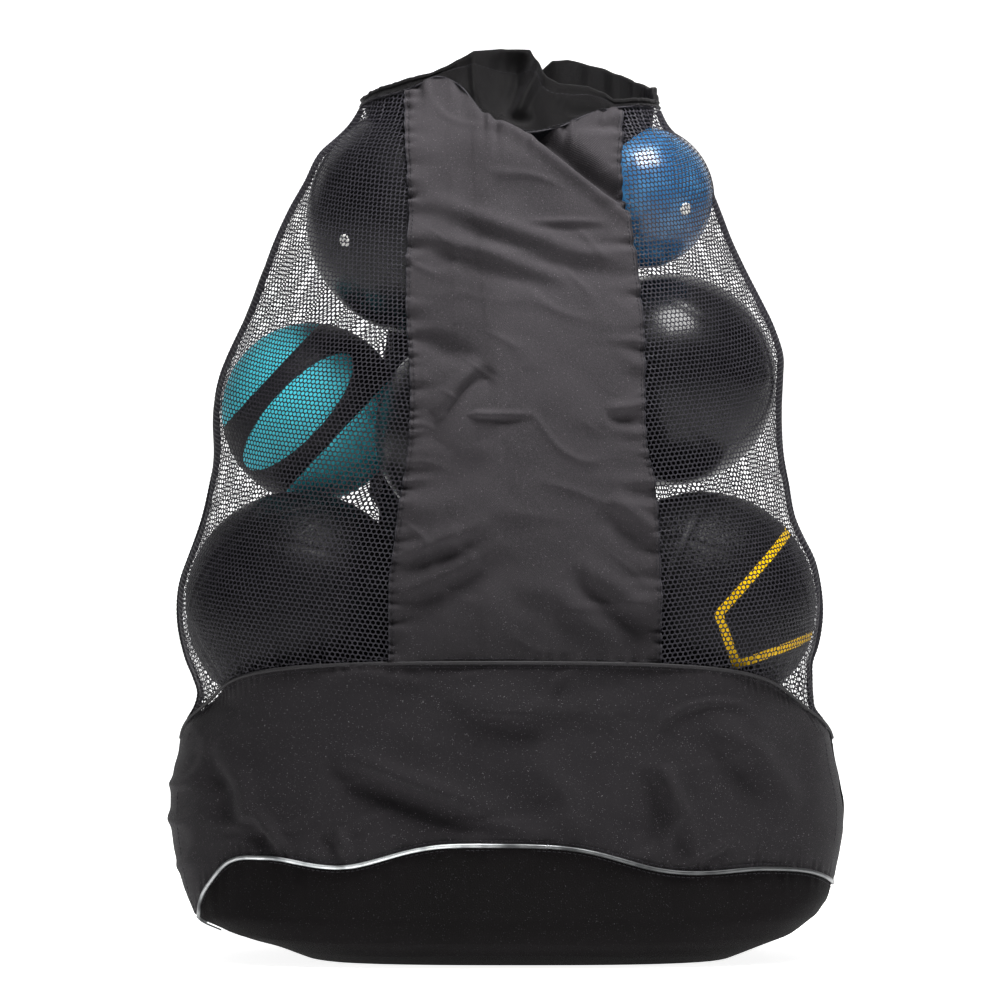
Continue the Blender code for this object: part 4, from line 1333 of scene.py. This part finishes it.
def band_piece(name, path, way, width, thick, finish, edge=0.35, cells=12):
    """A band with closed ends and a UV in metres: u across it and v along it."""
    rings, way, _ = band(path, way, width, thick, edge, cells)
    rings = np.concatenate([rings[:1] * 0 + path[0], rings, rings[:1] * 0 + path[-1]])
    rows, sides = rings.shape[:2]
    run = np.concatenate([[0], np.cumsum(np.linalg.norm(np.diff(rings.mean(1), axis=0), axis=1))])
    centre = rings.mean(1)
    way_all = np.concatenate([way[:1], way, way[-1:]])
    u = ((rings - centre[:, None]) * way_all[:, None]).sum(-1)
    uv = np.stack([u, np.repeat(run[:, None], sides, 1)], -1)
    return mesh_piece(name, rings, grid_faces(rows, sides, closed=True), finish, uv=uv)


def back_point(x, height, lift):
    """Point at this x and height on the back of the bag's full form, and the direction out of it."""
    x, height = np.broadcast_arrays(np.asarray(x, float), np.asarray(height, float))
    angle = math.pi - angle_of(x, height)
    out = skin_normal(angle, height)
    return skin(angle, height) + out * np.asarray(lift)[..., None], out


def sewn_patch(name, node, finish, thick, cells=(40, 16)):
    """A piece of webbing sewn flat on the back, the size of its CAD node, with a rounded rim."""
    low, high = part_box(node)
    u, v = np.meshgrid(np.linspace(0, 1, cells[0] + 1), np.linspace(0, 1, cells[1] + 1))
    x, height = low.x + (high.x - low.x) * u, low.z + 0.001 + (high.z - low.z - 0.002) * v
    edge = np.minimum(np.minimum(u, 1 - u) * (high.x - low.x), np.minimum(v, 1 - v) * (high.z - low.z))
    lift = 0.0010 + thick * ease(edge / 0.0022) - 0.0006 * np.exp(-(((edge - 0.0045) / 0.0012) ** 2))
    place, _ = back_point(x, height, lift)
    piece = mesh_piece(name, place, grid_faces(*x.shape), finish, uv=np.stack([height, x], -1))
    return piece, (low, high)


def make_straps(_sizes):
    """Yoke, haul loop, and on each side a padded shoulder strap, its webbing, slider and anchor."""
    threads = []
    yoke, (low, high) = sewn_patch("yoke_webbing", "strap_yoke", MATERIALS["webbing"], 0.0035, (90, 30))
    finished(yoke)
    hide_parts("strap_yoke")

    def sewn_line(points_2d, lift):
        """A row of stitches through points given as x and height on the back."""
        route = np.array(points_2d, float)
        run = np.concatenate([[0], np.cumsum(np.linalg.norm(np.diff(route, axis=0), axis=1))])
        at = np.arange(0, run[-1], 0.002)
        x, height = np.interp(at, run, route[:, 0]), np.interp(at, run, route[:, 1])
        path, out = back_point(x, height, lift)
        threads.append(stitch_row(path, out, pitch=0.0036, length=0.0028))

    def boxed(x0, x1, z0, z1, lift):
        """A box of stitches with a cross in it."""
        sewn_line(((x0, z0), (x1, z0), (x1, z1), (x0, z1), (x0, z0)), lift)
        sewn_line(((x0, z0), (x1, z1)), lift)
        sewn_line(((x0, z1), (x1, z0)), lift)

    boxed(low.x + 0.005, high.x - 0.005, low.z + 0.005, high.z - 0.005, 0.0042)
    loop_low, loop_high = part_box("haul_loop")
    half = (loop_high.x - loop_low.x) / 2 - 0.006
    turn = np.linspace(0, math.pi, 60)
    foot, _ = back_point(half, LOOP_FOOT, 0.010)
    rise, depth = loop_high.z - 0.010 - LOOP_FOOT, loop_high.y - 0.010 - foot[1]
    bow = np.sin(turn)
    loop = np.stack([-half * np.cos(turn), foot[1] + depth * bow, LOOP_FOOT + rise * bow], axis=1)
    start = np.array([[-half - 0.002, foot[1] - 0.010, 0.810]])
    loop = np.concatenate([start, loop, start * (-1, 1, 1)])
    loop = even_path(loop, 90)
    strip = band_piece("haul_loop_webbing", loop, (0.0, 0.64, -0.77), 0.025, 0.0026, MATERIALS["webbing"], 0.22)
    finished(strip)
    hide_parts("haul_loop")
    for side, hand in ((-1, "left"), (1, "right")):
        mirror = np.array([side, 1, 1])
        heads = [back_point(x, z, 0.0105)[0] for x, z in ((0.069, 0.800), (0.071, 0.776))]
        path = even_path([*heads, *PAD_ROUTE], 120) * mirror
        share = np.linspace(0, 1, len(path))
        lying = ease(1 - share / 0.35)[:, None]
        tangent = unit(back_point(0.10, 0.79, 0)[0] - back_point(0.04, 0.79, 0)[0])
        way = lying * tangent * mirror * side + (1 - lying) * (1, 0, 0)
        width = 0.060 * (0.86 + 0.14 * ease(share / 0.10)) * (1 - 0.42 * ease((share - 0.93) / 0.07))
        swell = 0.0095 * (0.45 + 0.55 * ease(share / 0.12) * ease((1 - share) / 0.07))
        _, across, face = band(path, way, width, swell, edge=0.42, cells=16)
        channel = 0.0007 * np.exp(-(((share * 30) % 1 - 0.5) / 0.16) ** 2)
        channel = channel * ease(share / 0.1) * ease((1 - share) / 0.1)
        pad = band_piece("pad_" + hand, path, way, width, swell - channel, MATERIALS["canvas"], 0.42, 16)
        finished(pad)
        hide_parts("shoulder_pad_" + hand)
        rows = []
        for end in (-1, 1):
            edge = path + across * (width / 2 - 0.0006)[:, None] * end
            rows.append(tube_mesh(edge, face, 0.0032, 10, flat=0.85))
            inset = path + across * (width / 2 - 0.0052)[:, None] * end
            out = face * np.sign(face[:, 1:2])
            threads.append(stitch_row(inset + out * (swell * 0.44)[:, None], out))
        finished(joined("binding_" + hand, rows, MATERIALS["piping"]))
        web_low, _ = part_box("strap_webbing_" + hand)
        foot = back_point(ANCHOR_X, web_low.z + 0.002, 0.0065)[0] * mirror
        pad_end = path[-1]
        top = pad_end + unit(pad_end - foot) * 0.012
        quarter, three_quarters = pad_end * 0.75 + foot * 0.25, pad_end * 0.25 + foot * 0.75
        lead = even_path([top, pad_end, quarter, three_quarters, foot], 140)
        strip = band_piece("webbing_" + hand, lead, (1, 0, 0), 0.025, 0.0017, MATERIALS["webbing"], 0.2)
        finished(strip)
        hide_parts("strap_webbing_" + hand)
        anchor = "strap_anchor_" + hand
        tab, (low, high) = sewn_patch("anchor_" + hand, anchor, MATERIALS["webbing"], 0.0032, (30, 30))
        finished(tab)
        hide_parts(anchor)
        x0, x1 = sorted((abs(low.x), abs(high.x)))
        box_rows = len(threads)
        boxed(x0 + 0.004, x1 - 0.004, low.z + 0.004, high.z - 0.004, 0.0040)
        if side < 0:  # the box is sewn on the right, so the left one is mirrored and its faces turned
            for k in range(box_rows, len(threads)):
                threads[k] = (threads[k][0] * (-1, 1, 1), threads[k][1][:, ::-1])
        make_slider(hand, lead)
    finished(joined("strap_stitches", threads, MATERIALS["thread"]))


def make_slider(hand, lead):
    """A three-bar slider: a rounded frame round the webbing and a middle bar under it."""
    low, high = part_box("strap_slider_" + hand)
    middle = (low + high) / 2
    centre = lead[np.argmin(np.abs(lead[:, 2] - middle.z))]
    run = unit(lead[100] - lead[60])
    across = unit(np.array([1.0, 0, 0]) - run * run[0])
    face = np.cross(run, across)
    face *= np.sign(face[1])
    turn = np.arange(64) * 2 * math.pi / 64
    wide, tall = 0.0165, 0.0105
    power = 0.42
    outline = (
        centre
        + np.outer(np.sign(np.cos(turn)) * np.abs(np.cos(turn)) ** power * wide, across)
        + np.outer(np.sign(np.sin(turn)) * np.abs(np.sin(turn)) ** power * tall, run)
        + face * 0.0026
    )
    parts = [tube_mesh(outline, np.broadcast_to(face, outline.shape), 0.0021, 12, flat=0.8, closed=True)]
    for shift, lift in ((-0.0105, 0.0026), (0.0105, 0.0026), (0.0, -0.0032)):
        ends = np.array([[-1.0], [-0.5], [0.0], [0.5], [1.0]]) * across * 0.0160
        bar = centre + ends + run * shift + face * lift
        parts.append(tube_mesh(even_path(bar, 12), np.broadcast_to(face, (12, 3)), 0.0020, 10))
    for end in (-1, 1):
        post = centre + across * end * 0.0160 + np.outer(np.linspace(-0.0032, 0.0026, 6), face)
        parts.append(tube_mesh(post, np.broadcast_to(run, post.shape), 0.0024, 10))
    piece = joined("slider_" + hand, parts, MATERIALS["buckle"])
    finished(piece, body=hand + "_slider")
    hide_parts("strap_slider_" + hand)


# ---------------------------------------------------------------- balls


# Name: material, kind of channels, and the name of a finish slot.
BALL_KINDS = {
    "top_left": ("black", "football", "black_ball"),
    "blue": ("blue", "ring", "blue_ball"),
    "right": ("gloss", "football", "black_ball"),
    "teal": ("teal", "none", "teal_ball"),
    "middle": ("black", "football", "black_ball"),
    "lower_left": ("pebbled", "basket", "pebbled_ball"),
    "lower_right": ("pebbled", "basket", "pebbled_ball"),
    "lower_back": ("black", "basket", "black_ball"),
    "base_left": ("black", "basket", "black_ball"),
    "base_middle": ("black", "football", "black_ball"),
    "base_right": ("black", "basket", "black_ball"),
}
# Line on the lower right ball, as x and height from its centre.
YELLOW_LINE = ((0.094, 0.083), (0.013, -0.005), (0.032, -0.058), (0.116, -0.030))
# The long and the short way of the lens on the teal ball.
LENS_WAY, LENS_ACROSS = np.array((0.68, 0.0, 0.73)), np.array((0.73, 0.0, -0.68))
# Section of a valve from its rim to its needle hole: distance from the axis, and height above the cover.
VALVE_PROFILE = (
    (0.0068, -0.0008),
    (0.0067, 0.0002),
    (0.0058, 0.0009),
    (0.0018, 0.0009),
    (0.0011, 0.0),
    (0.0009, -0.003),
    (0.0001, -0.003),
)


def channel_distance(way, radius, kind):
    """Distance from the nearest channel on a ball of this radius. way is a unit direction in its frame."""
    x, y, z = way[..., 0], way[..., 1], way[..., 2]
    if kind == "none":
        return np.full(x.shape, 1.0)
    if kind == "ring":
        return np.abs(np.arcsin(np.clip(z * 0.6 + x * 0.8, -1, 1))) * radius
    upright, level = np.abs(np.arcsin(np.clip(x, -1, 1))), np.abs(np.arcsin(np.clip(z, -1, 1)))
    if kind == "basket":
        oval = np.hypot(x / 0.92, z / 0.62)
        circles = [upright, level, np.where(np.abs(y) > 0.0, np.abs(oval - 0.92) * 0.75, 1.0)]
    else:
        from_pole = np.abs(np.arcsin(np.clip(np.abs(y), 0, 1)) - math.pi / 2)
        circles = [np.abs(from_pole - 0.62), np.abs(level - 0.52), upright]
    return np.minimum.reduce(circles) * radius


def make_balls(_sizes):
    """Each ball as a sphere of rings round its valve, with channels pressed in, and its valve."""
    for name, (key, kind, slot) in BALL_KINDS.items():
        centre, radius = BALLS[name]
        low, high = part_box("valve_" + name)
        axis = unit(np.array((low + high) / 2) - centre)
        side = unit(np.cross(axis, [0.3, 0.2, 1.0]))
        third = np.cross(axis, side)
        tilts = np.linspace(0.0, math.pi, BALL_RINGS + 2)[1:-1]
        turns = np.arange(BALL_SIDES) * 2 * math.pi / BALL_SIDES
        tilt, turn = np.meshgrid(tilts, turns, indexing="ij")
        way = (
            np.cos(tilt)[..., None] * axis
            + (np.sin(tilt) * np.cos(turn))[..., None] * side
            + (np.sin(tilt) * np.sin(turn))[..., None] * third
        )
        way = np.concatenate([way.reshape(-1, 3), [axis, -axis]])
        own = np.stack([way @ side, way @ third, way @ axis], axis=-1)
        seam = channel_distance(own, radius, kind)
        deep = 0.0011 if kind == "basket" else 0.0005
        groove = deep * np.exp(-((seam / 0.0026) ** 2))
        from_valve = np.arccos(np.clip(own[:, 2], -1, 1)) * radius
        groove += 0.0006 * np.exp(-(((from_valve - 0.010) / 0.0014) ** 2))
        mark = np.full(len(way), -1.0)
        if name == "lower_right":
            x, height = way[:, 0] * radius, way[:, 2] * radius
            distance, _ = away_from(x, height, YELLOW_LINE)
            mark = np.where(way[:, 1] < 0, 0.0044 - np.abs(distance), -1.0)
        if name == "teal":
            a, c = way @ LENS_WAY + 0.08, way @ LENS_ACROSS + 0.11
            lens = 0.29 * np.sqrt(np.maximum(1 - (a / 0.85) ** 2, 0)) - np.abs(c)
            mark = np.maximum(lens, np.abs(c) - 0.50) * radius
            groove += 0.0010 * np.exp(-((mark / 0.0016) ** 2))
        points = centre + way * (radius - groove)[:, None]
        rings = grid_faces(BALL_RINGS, BALL_SIDES, closed=True)[:, ::-1]
        step = np.arange(BALL_SIDES)
        after, pole, last = (step + 1) % BALL_SIDES, BALL_RINGS * BALL_SIDES, (BALL_RINGS - 1) * BALL_SIDES
        top = np.stack([np.full(BALL_SIDES, pole), step, after], axis=1)
        foot = np.stack([np.full(BALL_SIDES, pole + 1), after + last, step + last], axis=1)
        cover = "ball_" + name + "_cover"
        ball = ball_mesh(cover, points, rings, top, foot, MATERIALS[key], seam, mark)
        finished(ball, body=name + "_ball")
        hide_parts("ball_" + name)
        around = np.arange(24) * 2 * math.pi / 24
        circle = np.cos(around)[:, None] * side + np.sin(around)[:, None] * third
        ring = np.array([centre + axis * (radius + tall) + circle * wide for wide, tall in VALVE_PROFILE])
        faces = grid_faces(len(VALVE_PROFILE), 24, closed=True)[:, ::-1]
        valve = mesh_piece("valve_" + name + "_plug", ring, faces, MATERIALS["valve"])
        finished(valve, body=name + "_ball")
        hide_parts("valve_" + name)


def ball_mesh(name, points, quads, top, foot, finish, seam, mark):
    """A sphere's mesh from rings of quads and two fans of triangles."""
    mesh = bpy.data.meshes.new(name)
    mesh.from_pydata(points.tolist(), [], [*quads.tolist(), *top.tolist(), *foot.tolist()])
    for key, values in (("seam", seam), ("mark", mark)):
        layer = mesh.attributes.new(key, "FLOAT", "POINT")
        layer.data.foreach_set("value", values.astype(np.float32))
    mesh.shade_smooth()
    obj = bpy.data.objects.new(name, mesh)
    bpy.context.scene.collection.objects.link(obj)
    mesh.materials.append(finish)
    return obj


# ---------------------------------------------------------------- stage


def lamp(name, place, target, size, power):
    """A soft white square light that looks at the target."""
    light = bpy.data.lights.new(name, "AREA")
    light.shape, light.size, light.energy = "SQUARE", size, power
    obj = bpy.data.objects.new(name, light)
    bpy.context.scene.collection.objects.link(obj)
    obj.location = place
    obj.rotation_euler = (Vector(target) - Vector(place)).to_track_quat("-Z", "Y").to_euler()
    return obj


def make_stage(light):
    """Pale floor that curves up into a backdrop, white surround, soft lights and the camera."""
    profile = [(-12.0, 0.0), (0.0, 0.0), (9.0, 0.0)]
    profile += [(9.0 + 2.0 * math.sin(a), 2.0 - 2.0 * math.cos(a)) for a in np.linspace(0.1, math.pi / 2, 16)]
    profile += [(11.0, 12.0)]
    points = np.array([[[x, y, z] for x in (-12.0, 12.0)] for y, z in profile])
    made, tree, shader = started("White studio paper", linear("#f4f4f4"), 0.85)
    grain = noise(tree, coordinates(tree), 0.002, 2)
    tree.links.new(mixed(tree, grain, linear("#f1f1f1"), linear("#f7f7f7")), shader.inputs["Base Color"])
    shader.inputs["Emission Color"].default_value = (1, 1, 1, 1)
    shader.inputs["Emission Strength"].default_value = light.glow
    paper = mesh_piece("studio_paper", points, grid_faces(len(profile), 2), made)
    world = bpy.data.worlds.new("Studio")
    world.use_nodes = True
    world.node_tree.nodes["Background"].inputs["Color"].default_value = (1, 1, 1, 1)
    world.node_tree.nodes["Background"].inputs["Strength"].default_value = light.surround
    bpy.context.scene.world = world
    lamp("overhead light", (0.30, -0.62, 2.20), (0, 0, 0.45), 0.8, light.key)
    lamp("front fill", (-1.8, -3.6, 2.2), (0, 0, 0.45), 1.6, light.fill)
    camera = bpy.data.cameras.new("camera")
    camera.sensor_width, camera.lens = 36.0, light.lens
    obj = bpy.data.objects.new("camera", camera)
    bpy.context.scene.collection.objects.link(obj)
    tilt = math.radians(light.camera_tilt)
    aim = Vector((-0.006, 0.0, 0.473))
    away = light.camera_distance
    obj.location = aim + Vector((0, -away * math.cos(tilt), away * math.sin(tilt)))
    obj.rotation_euler = (aim - obj.location).to_track_quat("-Z", "Y").to_euler()
    camera.clip_end = 100
    bpy.context.scene.camera = obj
    bpy.context.scene.view_settings.view_transform = "Standard"


# ---------------------------------------------------------------- add-on


def length(name, text, value):
    return bpy.props.FloatProperty(
        name=name, description=text, default=value, min=0.0, unit="LENGTH", precision=4
    )


def power(name, text, value):
    return bpy.props.FloatProperty(name=name, description=text, default=value, unit="POWER")


def plain_number(name, text, value):
    return bpy.props.FloatProperty(name=name, description=text, default=value)


def colour_code(name, text, value):
    return bpy.props.StringProperty(name=name, description=text, default=value)


class BagSizes(bpy.types.PropertyGroup):
    """Sizes of the bag's trimmings."""

    net_pitch: length("Net pitch", "Distance between neighbouring holes of the net", 0.0056)
    net_strand: length("Net strand", "Width of the yarn between two holes of the net", 0.00145)
    silver_piping: length("Silver piping", "Diameter of the reflective piping round the bowl", 0.0043)
    black_piping: length("Black piping", "Diameter of the piping round the base wall", 0.0036)
    tunnel: length("Cord tunnel", "Thickness of the rolled tunnel at the mouth", 0.0056)
    seam_fin: length("Net seam", "Width of the turned seam at each side of the net", 0.0064)
    seam_rib: length("Net seam rib", "Distance between the ribs of the net's side seam", 0.0044)
    crease: plain_number("Creases", "Depth of the cloth's creases, 1 as sewn", 2.1)


class BagColours(bpy.types.PropertyGroup):
    """Colours of the cloth and of the coloured balls, as colour codes."""

    canvas: colour_code("Canvas", "Colour of the front and back panel", "#292729")
    # base and bowl are set darker than the canvas: partly their black cloth's colour, partly painted shade low
    # on the bag
    base: colour_code("Base wall", "Colour of the base wall", "#181618")
    bowl: colour_code("Bowl", "Colour of the bottom", "#0c0b0b")
    net: colour_code("Net", "Colour of the net's yarn", "#17161a")
    blue: colour_code("Blue ball", "Colour of the vinyl ball", "#28608f")
    teal: colour_code("Teal ball", "Second colour of the teal ball", "#4fd6e6")


class StudioLight(bpy.types.PropertyGroup):
    """Light and camera of the studio."""

    surround: plain_number("Surround", "Brightness of the white room", 0.07)
    key: power("Key light", "Power of the overhead light", 100.0)
    fill: power("Front fill", "Power of the front light", 8.0)
    glow: plain_number("Paper glow", "Light from behind the studio paper", 0.90)
    lens: plain_number("Lens", "Focal length in millimetres", 277.0)
    camera_distance: length("Camera distance", "From the bag's middle", 8.0)
    camera_tilt: plain_number("Camera tilt", "Degrees above level", 1.6)


def build_operator(name, label, text, work, group):
    """An operator that calls one making function with its property group."""

    def execute(self, context):
        if not MATERIALS:
            make_materials(context.scene.bag_colours)
        work(getattr(context.scene, group))
        return {"FINISHED"}

    return type(
        "BAG_OT_" + name,
        (bpy.types.Operator,),
        {
            "bl_idname": "bag.make_" + name,
            "bl_label": label,
            "bl_options": {"REGISTER", "UNDO"},
            "__doc__": text,
            "execute": execute,
        },
    )


STEPS = (
    ("base", "Make Base", "Bowl, base walls and piping", make_base, "bag_sizes"),
    ("panels", "Make Panels", "Front and back canvas panels", make_panels, "bag_sizes"),
    ("net", "Make Net", "Knitted net of both sides", make_net, "bag_sizes"),
    ("collar", "Make Collar", "Collar, cord tunnel and eyelets", make_collar, "bag_sizes"),
    ("straps", "Make Straps", "Carrying straps on the back", make_straps, "bag_sizes"),
    ("balls", "Make Balls", "The eleven balls and their valves", make_balls, "bag_sizes"),
    ("stage", "Make Stage", "Floor, backdrop, lights and camera", make_stage, "studio_light"),
)
OPERATORS = tuple(build_operator(*step) for step in STEPS)


class BAG_PT_panel(bpy.types.Panel):
    """Buttons and values of the ball bag."""

    bl_label = "Ball Bag"
    bl_space_type = "VIEW_3D"
    bl_region_type = "UI"
    bl_category = "Ball Bag"

    def draw(self, context):
        for group in ("bag_sizes", "bag_colours", "studio_light"):
            values = getattr(context.scene, group)
            box = self.layout.box()
            for key in values.__annotations__:
                box.prop(values, key)
        for operator in OPERATORS:
            self.layout.operator(operator.bl_idname)


CLASSES = (BagSizes, BagColours, StudioLight, *OPERATORS, BAG_PT_panel)


def register():
    for one in CLASSES:
        bpy.utils.register_class(one)
    bpy.types.Scene.bag_sizes = bpy.props.PointerProperty(type=BagSizes)
    bpy.types.Scene.bag_colours = bpy.props.PointerProperty(type=BagColours)
    bpy.types.Scene.studio_light = bpy.props.PointerProperty(type=StudioLight)


def unregister():
    for name in ("bag_sizes", "bag_colours", "studio_light"):
        delattr(bpy.types.Scene, name)
    for one in reversed(CLASSES):
        bpy.utils.unregister_class(one)


def main():
    register()
    for name, *_ in STEPS:
        if getattr(bpy.ops.bag, "make_" + name)() != {"FINISHED"}:
            raise RuntimeError(f"the step {name} did not finish")


if __name__ == "__main__":
    main()
